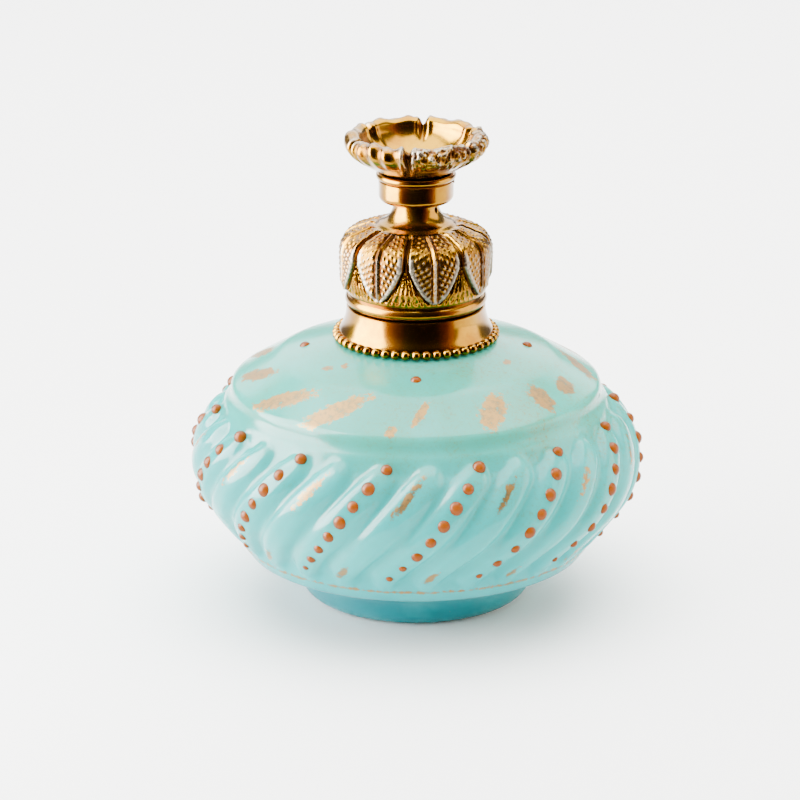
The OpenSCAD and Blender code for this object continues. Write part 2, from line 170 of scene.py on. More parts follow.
def smooth(mesh: bpy.types.Mesh, crease: float = 40.0) -> None:
    """Shade a mesh smooth, with creases sharper than an angle left sharp.

    Args:
        mesh: The mesh.
        crease: Angle in degrees past which an edge stays sharp.
    """
    mesh.shade_smooth()
    mesh.set_sharp_from_angle(angle=math.radians(crease))


def face_out(mesh: bpy.types.Mesh) -> None:
    """Turn every face of a closed mesh outwards."""
    work = bmesh.new()
    work.from_mesh(mesh)
    bmesh.ops.recalc_face_normals(work, faces=work.faces)
    work.to_mesh(mesh)
    work.free()


def revolve(name: str, radii: np.ndarray, heights: np.ndarray, material: bpy.types.Material, ring: bool,
            marks: Optional[dict[str, np.ndarray]] = None, crease: float = 40.0) -> bpy.types.Object:
    """Make a turned piece from a grid of radii and heights.

    Args:
        name: Name of the piece.
        radii: Radius at each row and column, shape (rows, columns).
        heights: Height at each row and column.
        material: Its finish.
        ring: True where the last row joins the first, False where both ends close on the axis.
        marks: Values painted on the vertices, by attribute name.
        crease: Angle past which an edge stays sharp.

    Returns:
        The closed piece.
    """
    rows, columns = radii.shape
    turn = np.linspace(0.0, 2.0 * math.pi, columns, endpoint=False)
    x, y = radii * np.cos(turn), radii * np.sin(turn)
    poles = () if ring else (0, rows - 1)
    vertices, starts, kept = [], [], []
    for row in range(rows):
        starts.append(len(vertices))
        for column in range(1 if row in poles else columns):
            spot = (0.0, 0.0) if row in poles else (x[row, column], y[row, column])
            vertices.append((spot[0] * MM, spot[1] * MM, heights[row, column] * MM))
            kept.append(row * columns + column)
    faces = []
    for row in range(rows if ring else rows - 1):
        above = (row + 1) % rows
        for column in range(columns):
            beside = (column + 1) % columns
            if row in poles:
                faces.append((starts[row], starts[above] + beside, starts[above] + column))
            elif above in poles:
                faces.append((starts[row] + column, starts[row] + beside, starts[above]))
            else:
                faces.append((starts[row] + column, starts[row] + beside, starts[above] + beside,
                    starts[above] + column))
    mesh = bpy.data.meshes.new(name)
    mesh.from_pydata(vertices, [], faces)
    for label, values in (marks or {}).items():
        layer = mesh.attributes.new(label, "FLOAT", "POINT")
        layer.data.foreach_set("value", np.ascontiguousarray(values.reshape(-1)[kept], dtype=np.float32))
    face_out(mesh)
    smooth(mesh, crease)
    return place(name, mesh, material)


# ---------------------------------------------------------------- node trees

def add_node(tree: bpy.types.NodeTree, kind: str, inputs: Optional[dict[Any, Any]] = None,
             stops: Sequence[tuple[float, str]] = (), **settings: Any) -> bpy.types.Node:
    """Add a node, with its settings, values and links.

    Args:
        tree: The node tree.
        kind: The node's type name, without the tree's own prefix.
        inputs: Values, output sockets, or nodes for their first output, by the input's name or number.
        stops: Places and sRGB hex colours of a colour ramp.
        **settings: Properties of the node.

    Returns:
        The new node.
    """
    node = tree.nodes.new(kind if kind.startswith("NodeGroup") else PREFIX[tree.bl_idname] + kind)
    for key, value in settings.items():
        setattr(node, key, value)
    if stops:
        while len(node.color_ramp.elements) < len(stops):
            node.color_ramp.elements.new(1.0)
        for element, (position, colour) in zip(node.color_ramp.elements, stops):
            element.position = position
            element.color = hex_linear(colour)
    for key, value in (inputs or {}).items():
        if isinstance(value, bpy.types.Node):
            value = value.outputs[0]
        if isinstance(value, bpy.types.NodeSocket):
            tree.links.new(value, node.inputs[key])
        else:
            node.inputs[key].default_value = value
    return node


def hex_linear(code: str) -> tuple[float, float, float, float]:
    """Turn an sRGB hex colour to linear RGBA.

    Args:
        code: Colour as "#rrggbb".

    Returns:
        The four linear values, alpha 1.
    """
    parts = [int(code[i:i + 2], 16) / 255.0 for i in (1, 3, 5)]
    red, green, blue = [p / 12.92 if p <= 0.04045 else ((p + 0.055) / 1.055) ** 2.4 for p in parts]
    return (red, green, blue, 1.0)


def new_material(name: str) -> tuple[bpy.types.Material, Adder]:
    """Start a material with an empty tree, and return it with add_node bound to that tree."""
    material = bpy.data.materials.new(name)
    material.use_nodes = True
    material.node_tree.nodes.clear()
    return material, partial(add_node, material.node_tree)


# ---------------------------------------------------------------- finishes

@dataclass(frozen=True)
class OpalineGlass:
    """Pressed blue opaline glass, fire polished, with worn gilding: milky depth under a wet gloss."""

    foot: str = "#00727a"
    band: str = "#069294"
    body: str = "#009694"
    shoulder: str = "#1e9888"
    milk: str = "#36aeac"
    grime: str = "#5e622c"
    gold: str = "#8e5c04"
    gold_shade: str = "#4e2e04"
    roughness: float = 0.17
    ior: float = 1.5
    gloss: float = 0.22
    depth: float = 2.5
    clouds_per_m: float = 80.0
    specks_per_m: float = 1900.0
    patches_per_m: float = 110.0
    flecks_per_m: float = 900.0
    waves_per_m: float = 260.0

    def build(self) -> bpy.types.Material:
        """Return the material."""
        material, add = new_material("opaline_glass_pressed")
        spot = add("TexCoord").outputs["Object"]
        split = add("SeparateXYZ", {0: spot})
        height = add("MapRange", {0: split.outputs[2], 1: 0.0, 2: 50 * MM})
        tint = add("ValToRGB", {0: height}, stops=((0.0, self.foot), (0.15, self.foot), (0.2, self.band),
            (0.34, self.body), (0.64, self.body), (0.76, self.shoulder), (1.0, self.shoulder)))
        # Cloudy streaks of the opal, some 12 mm across
        cloud = add("TexNoise", {"Vector": spot, "Scale": self.clouds_per_m, "Detail": 3.0,
            "Distortion": 0.6})
        milk = add("MapRange", {0: cloud, 1: 0.4, 2: 0.75, 3: 0.0, 4: 0.3})
        body = add("Mix", {0: milk, 6: tint, 7: hex_linear(self.milk)}, data_type="RGBA")
        # Grime in the mould's grain, specks of half a millimetre, heavier high up and on the +X side
        speck = add("TexNoise", {"Vector": spot, "Scale": self.specks_per_m, "Detail": 4.0, "Roughness": 0.7})
        patch = add("TexNoise", {"Vector": spot, "Scale": self.patches_per_m, "Detail": 4.0,
            "Roughness": 0.65})
        side = add("MapRange", {0: split, 1: -46 * MM, 2: 18 * MM})
        high = add("MapRange", {0: split.outputs[2], 1: 14 * MM, 2: 39 * MM})
        where = add("Math", {0: side, 1: high}, operation="MULTIPLY")
        grain = add("MapRange", {0: speck, 1: 0.52, 2: 0.64, 3: 0.3, 4: 1.0})
        drift = add("MapRange", {0: patch, 1: 0.4, 2: 0.64, 3: 0.4, 4: 0.95})
        dirt = add("Math", {0: grain, 1: drift}, operation="MULTIPLY")
        soil = add("Math", {0: dirt, 1: where}, operation="MULTIPLY")
        aged = add("Mix", {0: soil, 6: body.outputs[2], 7: hex_linear(self.grime)}, data_type="RGBA")
        # Brushed gold, rubbed away in flecks of about a millimetre
        gilt = add("Attribute", attribute_name="gilt")
        fleck = add("TexNoise", {"Vector": spot, "Scale": self.flecks_per_m, "Detail": 5.0,
            "Roughness": 0.75})
        worn = add("Math", {0: fleck, 1: 0.45}, operation="SUBTRACT")
        rubbed = add("Math", {0: worn, 1: -2.6, 2: gilt.outputs["Fac"]}, operation="MULTIPLY_ADD")
        leaf = add("MapRange", {0: rubbed, 1: 0.36, 2: 0.56, 3: 0.0, 4: 0.86})
        strands = add("MapRange", {0: fleck, 1: 0.46, 2: 0.62, 3: 0.0, 4: 0.8})
        paint = add("Mix", {0: strands, 6: hex_linear(self.gold), 7: hex_linear(self.gold_shade)},
            data_type="RGBA")
        gilded = add("Mix", {0: leaf, 6: aged.outputs[2], 7: paint.outputs[2]}, data_type="RGBA")
        metal = add("Math", {0: leaf, 1: 0.6}, operation="MULTIPLY")
        sheen = add("MapRange", {0: leaf, 3: self.roughness, 4: 0.4})
        # The press leaves faint waves some 4 mm long
        wave = add("TexNoise", {"Vector": spot, "Scale": self.waves_per_m, "Detail": 2.0})
        bump = add("Bump", {"Height": wave, "Strength": 0.12, "Distance": 0.3 * MM})
        shader = add("BsdfPrincipled", {"Base Color": gilded.outputs[2], "Metallic": metal,
            "Roughness": sheen, "Normal": bump, "IOR": self.ior, "Subsurface Weight": 0.35,
            "Subsurface Scale": self.depth * MM, "Subsurface Radius": (0.35, 0.9, 1.0),
            "Specular IOR Level": self.gloss})
        add("OutputMaterial", {"Surface": shader})
        return material


@dataclass(frozen=True)
class RaisedEnamel:
    """Fired relief enamel in burnt orange: glossy drops, mottled darker at random, and darker towards their
    rims by painted shade.
    """

    bright: str = "#7e3c00"
    deep: str = "#3a1600"
    roughness: float = 0.28
    mottles_per_m: float = 1100.0

    def build(self) -> bpy.types.Material:
        """Return the material."""
        material, add = new_material("relief_enamel_fired")
        spot = add("TexCoord").outputs["Object"]
        blotch = add("TexNoise", {"Vector": spot, "Scale": self.mottles_per_m, "Detail": 4.0})
        # Painted shade: the drops darken towards their rims, where they turn away from the view; the mottle
        # darkens them at random
        edge = add("LayerWeight", {"Blend": 0.3})
        mottle_and_rim_shade = add("Math", {0: blotch, 1: 0.5, 2: edge.outputs["Facing"]}, operation="MULTIPLY_ADD")
        level = add("MapRange", {0: mottle_and_rim_shade, 1: 0.2, 2: 1.1})
        tint = add("Mix", {0: level, 6: hex_linear(self.bright), 7: hex_linear(self.deep)}, data_type="RGBA")
        bump = add("Bump", {"Height": blotch, "Strength": 0.2, "Distance": 0.15 * MM})
        shader = add("BsdfPrincipled", {"Base Color": tint.outputs[2], "Roughness": self.roughness,
            "Normal": bump, "Specular IOR Level": 0.14})
        add("OutputMaterial", {"Surface": shader})
        return material


@dataclass(frozen=True)
class GiltBrass:
    """Stamped brass, fire gilt: deep gold, silvered where rubbed and brown where it was never touched; the
    same brown is painted shade in the vent's pit.
    """

    name: str = "gilt_brass_stamped"
    gold: str = "#8a650e"
    copper: str = "#6a3a0a"
    silver: str = "#837d6f"
    patina: str = "#3b1d0c"
    roughness: float = 0.2
    grain: float = 0.1
    clouds_per_m: float = 210.0
    grains_per_m: float = 2400.0

    def build(self) -> bpy.types.Material:
        """Return the material."""
        material, add = new_material(self.name)
        spot = add("TexCoord").outputs["Object"]
        # Tarnish in clouds of 5 mm, and a fine tooling grain of 0.4 mm
        cloud = add("TexNoise", {"Vector": spot, "Scale": self.clouds_per_m, "Detail": 5.0, "Roughness": 0.6})
        grain = add("TexNoise", {"Vector": spot, "Scale": self.grains_per_m, "Detail": 3.0})
        tone = add("MapRange", {0: cloud, 1: 0.38, 2: 0.7, 3: 0.0, 4: 0.75})
        base = add("Mix", {0: tone, 6: hex_linear(self.gold), 7: hex_linear(self.copper)}, data_type="RGBA")
        wear = add("Attribute", attribute_name="wear")
        scuff = add("Math", {0: grain, 1: 0.9, 2: wear.outputs["Fac"]}, operation="MULTIPLY_ADD")
        rubbed = add("MapRange", {0: scuff, 1: 0.75, 2: 1.15, 3: 0.0, 4: 0.92})
        bare = add("Mix", {0: rubbed, 6: base.outputs[2], 7: hex_linear(self.silver)}, data_type="RGBA")
        # The patina channel holds real patina and, in the vent's pit, painted shade
        dark = add("Attribute", attribute_name="patina")
        patina_and_pit_shade = add("MapRange", {0: dark.outputs["Fac"], 1: 0.1, 2: 0.9, 3: 0.0, 4: 0.94})
        aged = add("Mix", {0: patina_and_pit_shade, 6: bare.outputs[2], 7: hex_linear(self.patina)}, data_type="RGBA")
        dull = add("Math", {0: patina_and_pit_shade, 1: rubbed}, operation="MAXIMUM")
        matt = add("MapRange", {0: dull, 3: self.roughness, 4: 0.42})
        bump = add("Bump", {"Height": grain, "Strength": self.grain, "Distance": 0.06 * MM})
        shader = add("BsdfPrincipled", {"Base Color": aged.outputs[2], "Metallic": 1.0, "Roughness": matt,
            "Normal": bump})
        add("OutputMaterial", {"Surface": shader})
        return material


@dataclass(frozen=True)
class Grained:
    """A plain stuff whose colour and height follow one grain, such as cork, leather or turned metal."""

    name: str
    light: str
    dark: str
    roughness: float
    grain_mm: float
    relief_mm: float
    metallic: float = 0.0
    transmission: float = 0.0
    stretch: float = 1.0

    def build(self) -> bpy.types.Material:
        """Return the material."""
        material, add = new_material(self.name)
        spot = add("TexCoord").outputs["Object"]
        turned = add("Mapping", {0: spot, 3: (1.0, 1.0, self.stretch)})
        grain = add("TexNoise", {"Vector": turned, "Scale": 1.0 / (self.grain_mm * MM), "Detail": 5.0,
            "Roughness": 0.6})
        level = add("MapRange", {0: grain, 1: 0.35, 2: 0.68})
        tint = add("Mix", {0: level, 6: hex_linear(self.light), 7: hex_linear(self.dark)}, data_type="RGBA")
        bump = add("Bump", {"Height": grain, "Strength": 0.6, "Distance": self.relief_mm * MM})
        rough = add("MapRange", {0: grain, 3: 0.8 * self.roughness, 4: min(1.0, 1.25 * self.roughness)})
        shader = add("BsdfPrincipled", {"Base Color": tint.outputs[2], "Roughness": rough, "Normal": bump,
            "Metallic": self.metallic, "Transmission Weight": self.transmission})
        add("OutputMaterial", {"Surface": shader})
        return material


class Stock(Enum):
    """Plain stuffs of the pump and the seals, each by its common name."""

    # Turned brass: warm, with fine lathe rings that stretch each glint sideways
    TURNED_BRASS = Grained("brass_turned", "#c9a35a", "#9a7436", 0.28, 0.5, 0.02, 1.0, stretch=12.0)
    # Drawn steel: cool grey, close to a mirror
    DRAWN_STEEL = Grained("steel_drawn", "#c4c6c8", "#8d9093", 0.2, 0.4, 0.01, 1.0, stretch=6.0)
    # Cork: matt tan with dark pores
    CORK = Grained("cork_punched", "#b78b58", "#6f4a2a", 0.85, 0.9, 0.12)
    # Plaster of Paris: chalky off-white
    PLASTER = Grained("plaster_of_paris", "#ddd6c6", "#b9ae98", 0.9, 0.6, 0.05)
    # Oiled leather: dark brown with a soft shine
    LEATHER = Grained("leather_oiled", "#6a4528", "#3c2413", 0.5, 0.4, 0.06)
    # Waxed cotton packing: dark and fibrous
    PACKING = Grained("cotton_packing_waxed", "#574a3c", "#2c241d", 0.65, 0.3, 0.08)
    # Drawn glass tube: clear and faintly green
    GLASS_TUBE = Grained("glass_tube_drawn", "#e8f3f0", "#d6e8e4", 0.08, 3.0, 0.01, transmission=0.9)


# ---------------------------------------------------------------- geometry nodes

def grow_tree(name: str, sockets: dict[str, str]) -> tuple[bpy.types.NodeTree, bpy.types.Node]:
    """Start a Geometry Nodes tree with named inputs.

    Args:
        name: Name of the tree.
        sockets: Socket type of each named input.

    Returns:
        The tree and its input node.
    """
    tree = bpy.data.node_groups.new(name, "GeometryNodeTree")
    tree.interface.new_socket("Geometry", in_out="OUTPUT", socket_type="NodeSocketGeometry")
    tree.interface.new_socket("Geometry", in_out="INPUT", socket_type="NodeSocketGeometry")
    for label, kind in {**sockets, "Finish": "NodeSocketMaterial"}.items():
        tree.interface.new_socket(label, in_out="INPUT", socket_type=kind)
    return tree, add_node(tree, "NodeGroupInput")


def close_tree(tree: bpy.types.NodeTree, start: bpy.types.Node, geometry: bpy.types.NodeSocket) -> None:
    """End a tree with smooth, real geometry in its own finish.

    Args:
        tree: The tree.
        start: Its input node.
        geometry: The geometry made so far.
    """
    real = add_node(tree, "RealizeInstances", {0: geometry})
    even = add_node(tree, "SetShadeSmooth", {0: real})
    dressed = add_node(tree, "SetMaterial", {0: even, "Material": start.outputs["Finish"]})
    add_node(tree, "NodeGroupOutput", {0: dressed})


def grow(name: str, tree: bpy.types.NodeTree, values: dict[str, Any],
         seed: Optional[bpy.types.Mesh] = None) -> bpy.types.Object:
    """Run a Geometry Nodes tree once and keep its result as a plain mesh.

    Args:
        name: Name of the piece.
        tree: The tree.
        values: Value of each named input.
        seed: Mesh that the tree starts from, if it needs one.

    Returns:
        The finished piece, with no modifier left on it.
    """
    piece = place(name, seed or bpy.data.meshes.new(name), None)
    modifier = piece.modifiers.new("grow", "NODES")
    modifier.node_group = tree
    for item in tree.interface.items_tree:
        if item.item_type == "SOCKET" and item.in_out == "INPUT" and item.name in values:
            modifier[item.identifier] = values[item.name]
    graph = bpy.context.evaluated_depsgraph_get()
    mesh = bpy.data.meshes.new_from_object(piece.evaluated_get(graph))
    piece.modifiers.remove(modifier)
    piece.data = mesh
    mesh.name = name
    return piece


def drops_tree() -> bpy.types.NodeTree:
    """Return the tree that sets a round drop on each point, sized by the point's own radius."""
    tree, start = grow_tree("drops", {"Segments": "NodeSocketInt", "Rings": "NodeSocketInt"})
    ball = add_node(tree, "MeshUVSphere", {"Segments": start.outputs["Segments"],
        "Rings": start.outputs["Rings"], "Radius": 1.0})
    size = add_node(tree, "InputNamedAttribute", {"Name": "drop_radius"}, data_type="FLOAT")
    drops = add_node(tree, "InstanceOnPoints", {"Points": start.outputs["Geometry"], "Instance": ball,
        "Scale": size})
    close_tree(tree, start, drops.outputs[0])
    return tree


def coil_tree() -> bpy.types.NodeTree:
    """Return the tree that winds a wire into a coil."""
    tree, start = grow_tree("coil", {"Turns": "NodeSocketFloat", "Coil Radius": "NodeSocketFloat",
        "Wire Radius": "NodeSocketFloat", "Rise": "NodeSocketFloat", "Foot": "NodeSocketVector"})
    line = add_node(tree, "CurveSpiral", {"Resolution": 40, "Rotations": start.outputs["Turns"],
        "Start Radius": start.outputs["Coil Radius"], "End Radius": start.outputs["Coil Radius"],
        "Height": start.outputs["Rise"]})
    section = add_node(tree, "CurvePrimitiveCircle",
        {"Resolution": 10, "Radius": start.outputs["Wire Radius"]})
    wire = add_node(tree, "CurveToMesh", {"Curve": line, "Profile Curve": section, "Fill Caps": True})
    lifted = add_node(tree, "Transform", {"Geometry": wire, "Translation": start.outputs["Foot"]})
    close_tree(tree, start, lifted.outputs[0])
    return tree


def points_mesh(name: str, places: Sequence[tuple[float, float, float]],
                radii: Sequence[float]) -> bpy.types.Mesh:
    """Make loose points for drops.

    Args:
        name: Name of the mesh.
        places: Centres of the drops.
        radii: Their radii.

    Returns:
        A mesh of points that carries the radii in metres.
    """
    mesh = bpy.data.meshes.new(name)
    mesh.from_pydata([tuple(c * MM for c in spot) for spot in places], [], [])
    layer = mesh.attributes.new("drop_radius", "FLOAT", "POINT")
    layer.data.foreach_set("value", np.array(radii, dtype=np.float32) * MM)
    return mesh


# ---------------------------------------------------------------- bottle

@dataclass(frozen=True)
class Stroke:
    """One brushed stroke of gold on the shoulder; azimuth runs from the front towards +X."""

    azimuth: float
    radius: float
    length: float
    width: float
    lean: float


@dataclass
class Bottle:
    """The ribbed glass bottle with its gilding and its rows of enamel dots."""

    belly_r: float = 39.9
    belly_z: float = 25.4
    belly_arc: float = 11.8
    taper_deg: float = 38.0
    edge_z: float = 9.3
    foot_r: float = 18.2
    foot_top_r: float = 22.6
    foot_h: float = 6.2
    ledge_r: float = 32.7
    ledge_z: float = 39.6
    ring_r: float = 24.0
    ring_z: float = 44.1
    rim_r: float = 13.5
    seat_z: float = 46.93
    neck_r: float = 10.0
    mouth_r: float = 8.0
    wall: float = 3.0
    floor_z: float = 7.5
    foot_dish: float = 0.8
    cove_z: float = 37.5
    ribs: int = 28
    rib_lean: float = 38.0
    rib_turn: float = 12.6
    rib_depth: float = 1.25
    rib_head: float = 8.6
    rib_toe: float = -13.6
    columns: int = 448
    row_step: float = 0.62
    dot_r: float = 1.1
    dot_sink: float = 0.48
    dot_scale: float = 1.15
    dot_vary: float = 0.1
    row_dots: int = 8
    crown_dots: int = 4
    crown_share: float = 0.44
    crown_turn: float = -90.0
    # Middle, length and strength of each streak along a plain rib
    streaks: tuple[tuple[float, float, float], ...] = ((3.4, 9.5, 0.95), (-14.0, 5.5, 0.9))

    def __post_init__(self) -> None:
        """Work out the sizes that follow from others, and take the lip's height from the frame."""
        self.lip_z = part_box("glass_bottle")[1].z / MM
        self.belly_c = self.belly_r - self.belly_arc
        self.taper_z = self.belly_z - self.belly_arc * math.sin(math.radians(self.taper_deg))
        self.taper_r = self.belly_c + self.belly_arc * math.cos(math.radians(self.taper_deg))
        self.edge_r = self.taper_r - (self.taper_z - self.edge_z) * math.tan(math.radians(self.taper_deg))
        self.pitch = 2.0 * math.pi * self.belly_r / self.ribs

    def crest(self, z: float) -> float:
        """Return the radius of the rib crests at a height."""
        if z > self.taper_z:
            return self.belly_c + math.sqrt(max(0.0, self.belly_arc ** 2 - (z - self.belly_z) ** 2))
        return self.taper_r - (self.taper_z - z) * math.tan(math.radians(self.taper_deg))

    def along(self, z: np.ndarray) -> np.ndarray:
        """Return the length up the side from the widest point to each height."""
        bend = np.clip((z - self.belly_z) / self.belly_arc, -1.0, 1.0)
        curved = self.belly_arc * np.arcsin(bend)
        taper = math.radians(self.taper_deg)
        straight = -self.belly_arc * taper - (self.taper_z - z) / math.cos(taper)
        return np.where(z > self.taper_z, curved, straight)

    def outline(self) -> list[Point]:
        """Return the outside, from the middle of the underside up to the lip."""
        foot = [(0.0, self.foot_dish), (13.0, self.foot_dish), (14.2, 0.0), (self.foot_r - 1.0, 0.0)]
        foot += arc((self.foot_r - 0.5, 3.0), 3.0, -70, 0, 4)
        foot += [(self.foot_top_r - 0.7, self.foot_h - 0.6), (self.edge_r - 3.2, self.edge_z - 1.3)]
        foot += [(self.edge_r - 0.5, self.edge_z - 0.8), (self.edge_r + 0.2, self.edge_z + 0.4)]
        taper = [(self.crest(z), z) for z in np.linspace(self.edge_z + 1.4, self.taper_z, 6)]
        belly = arc((self.belly_c, self.belly_z), self.belly_arc, -self.taper_deg, 58, 26)[1:]
        cove = [(self.ledge_r + 0.4, 36.7), (self.ledge_r - 0.1, 37.7), (self.ledge_r, self.ledge_z - 1.1)]
        ledge = arc((self.ledge_r - 1.2, self.ledge_z - 1.2), 1.2, 10, 62, 4)
        shoulder = [(self.ring_r + 1.1, self.ring_z - 0.5), (self.ring_r + 0.3, self.ring_z - 0.05),
            (self.ring_r - 0.8, self.ring_z + 0.4), (self.rim_r + 1.3, self.seat_z - 0.2),
            (self.rim_r - 2.3, self.seat_z + 0.8)]
        neck = [(self.neck_r, 48.2), (self.neck_r, self.lip_z - 0.5), (self.neck_r - 0.5, self.lip_z)]
        return soften(foot, 2) + taper + belly + soften(cove + ledge + shoulder, 2) + neck

    def room(self) -> list[Point]:
        """Return the inside, from the lip down to the middle of the floor."""
        inner = self.belly_arc - self.wall
        belly = arc((self.belly_c, self.belly_z), inner, 80, -self.taper_deg, 12)
        neck = [(self.mouth_r + 0.4, self.lip_z), (self.mouth_r, self.lip_z - 0.4),
            (self.mouth_r, self.seat_z - 1.5), (self.rim_r, self.seat_z - self.wall),
            (self.ring_r - 0.4, self.ring_z - self.wall)]
        floor = [(self.edge_r - self.wall - 0.8, self.edge_z + 1.6), (self.foot_top_r - 1.5, self.floor_z),
            (0.0, self.floor_z)]
        return neck + belly + floor

    def rib_place(self, z: np.ndarray, turn: np.ndarray) -> tuple[np.ndarray, np.ndarray, np.ndarray]:
        """Find where points lie on their nearest rib.

        Args:
            z: Heights.
            turn: Angles from +X in degrees.

        Returns:
            The rib's number, the distance across it, and the distance along it from the widest point.
        """
        lean = math.radians(self.rib_lean)
        side = self.along(z)
        drift = np.degrees(math.tan(lean) * side / self.belly_r)
        step = (turn - self.rib_turn - drift) * self.ribs / 360.0 - 0.5
        number = np.round(step)
        round_way = (step - number) * self.pitch
        return number.astype(int) % self.ribs, round_way * math.cos(lean), side + round_way * math.sin(lean)

    def relief(self, z: np.ndarray, turn: np.ndarray) -> np.ndarray:
        """Return how far the glass sinks between the ribs, as rounded bars with arched heads and toes."""
        _, across, up = self.rib_place(z, turn)
        half = 0.5 * self.pitch * math.cos(math.radians(self.rib_lean))
        past = np.maximum(0.0, up - self.rib_head) + np.maximum(0.0, self.rib_toe - up)
        reach = np.hypot(across, past) / half
        bar = 0.5 + 0.5 * np.cos(math.pi * np.clip(reach, 0.0, 1.0) ** 1.9)
        side = self.along(z)
        below_heads = ease(-side, -self.rib_head - 4.6, -self.rib_head - 1.2)
        field = below_heads * ease(side, self.rib_toe - 4.4, self.rib_toe - 0.8)
        return -self.rib_depth * (1.0 - bar) * field

    def gilding(self, radii: np.ndarray, z: np.ndarray, turn: np.ndarray) -> np.ndarray:
        """Paint the brushed gold: shoulder strokes, streaks on the plain ribs and the line round the body.

        Args:
            radii: Radius at each point.
            z: Height at each point.
            turn: Angle at each point.

        Returns:
            How much gold each point carries, from 0 to 1.
        """
        front = (turn + 90.0 + 180.0) % 360.0 - 180.0
        gold = np.zeros_like(z)
        on_cone = (z > self.ledge_z - 1.0) & (z < self.seat_z) & (radii > self.rim_r + 2.0)
        for stroke in SHOULDER_STROKES:
            round_way = np.radians((front - stroke.azimuth + 180.0) % 360.0 - 180.0) * radii
            out = radii - stroke.radius
            lean = math.radians(stroke.lean)
            length = (round_way * math.cos(lean) - out * math.sin(lean)) / (0.5 * stroke.length)
            width = (round_way * math.sin(lean) + out * math.cos(lean)) / (0.5 * stroke.width)
            gold = np.maximum(gold, np.where(on_cone, 1.5 * (1.2 - np.hypot(length, width)), 0.0))
        number, across, up = self.rib_place(z, turn)
        on_ribs = (z > self.edge_z + 1.0) & (z < 36.0) & (radii > self.belly_c) & (number % 2 == 1)
        vary = np.sin(number * 12.9898) * 0.5 + 0.5
        for middle, length, strength in self.streaks:
            streak = np.hypot((across + 0.7) / 1.05, (up - middle - 1.5 * vary) / (0.5 * length))
            gold = np.maximum(gold, np.where(on_ribs, (0.75 + 0.4 * vary) * strength * (1.2 - streak), 0.0))
        line = 0.95 - np.abs(z - self.edge_z - 1.6) / 0.55
        return np.clip(np.maximum(gold, np.where(radii > self.foot_top_r, line * 0.85, 0.0)), 0.0, 1.0)

    def glass(self, finish: bpy.types.Material) -> bpy.types.Object:
        """Build the glass.

        Args:
            finish: Its material.

        Returns:
            The closed glass shell.
        """
        outside = resample(self.outline(), self.row_step)
        inside = resample(self.room(), 2.4)
        normals = outward(outside)
        turn = np.linspace(0.0, 360.0, self.columns, endpoint=False)[None, :] + np.zeros((len(outside), 1))
        z = outside[:, 1:2] + np.zeros_like(turn)
        band = (outside[:, 1:2] > self.edge_z) & (outside[:, 1:2] < self.cove_z)
        sink = np.where(band, self.relief(z, turn), 0.0)
        radii = outside[:, 0:1] + normals[:, 0:1] * sink
        heights = outside[:, 1:2] + normals[:, 1:2] * sink
        gold = self.gilding(radii, heights, turn)
        spread = np.ones((1, self.columns))
        radii = np.vstack([radii, inside[:, 0:1] * spread])
        heights = np.vstack([heights, inside[:, 1:2] * spread])
        gold = np.vstack([gold, np.zeros((len(inside), self.columns))])
        return revolve("bottle_glass", radii, heights, finish, False, {"gilt": gold})

    def drops(self) -> tuple[list[tuple[float, float, float]], list[float]]:
        """Return the places and radii of the enamel drops, as the ribs and the shoulder carry them."""
        top, foot = self.belly_z + 0.76 * self.belly_arc, self.edge_z + 0.335 * (self.belly_z - self.edge_z)
        places, radii = [], []
        for rib in range(0, self.ribs, 2):
            for i in range(self.row_dots):
                t = i / (self.row_dots - 1)
                z = top + (foot - top) * t
                drift = math.tan(math.radians(self.rib_lean)) * float(self.along(np.array(z))) / self.belly_r
                angle = math.radians(self.rib_turn + 360.0 / self.ribs * (rib + 0.5)) + drift
                vary = self.dot_scale + self.dot_vary * math.sin(5.1 * rib + 3.7 * i)
                size = vary * self.dot_r * (0.4 + 0.6 * math.sin(math.radians(54 + 112 * t)))
                reach = self.crest(z) - self.dot_sink * size
                places.append((reach * math.cos(angle), reach * math.sin(angle), z))
                radii.append(size)
        share = self.crown_share
        out, inner = (self.ring_r - 0.8, self.ring_z + 0.4), (self.rim_r + 1.3, self.seat_z - 0.2)
        reach, level = out[0] + share * (inner[0] - out[0]), out[1] + share * (inner[1] - out[1])
        for k in range(self.crown_dots):
            angle = math.radians(360.0 / self.crown_dots * k + self.crown_turn)
            places.append((reach * math.cos(angle), reach * math.sin(angle),
                level - self.dot_sink * self.dot_r))
            radii.append(self.dot_r)
        return places, radii

    def build(self) -> None:
        """Build and dress the glass and the enamel, and give both to the bottle's body."""
        glass = self.glass(OpalineGlass().build())
        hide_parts("glass_bottle")
        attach(glass, "bottle")
        places, radii = self.drops()
        enamel = grow("enamel_drops", drops_tree(),
            {"Segments": 14, "Rings": 8, "Finish": RaisedEnamel().build()},
            points_mesh("enamel_points", places, radii))
        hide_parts("enamel_dots")
        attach(enamel, "bottle")
        LOG.info("bottle: %d faces of glass, %d drops", len(glass.data.polygons), len(radii))


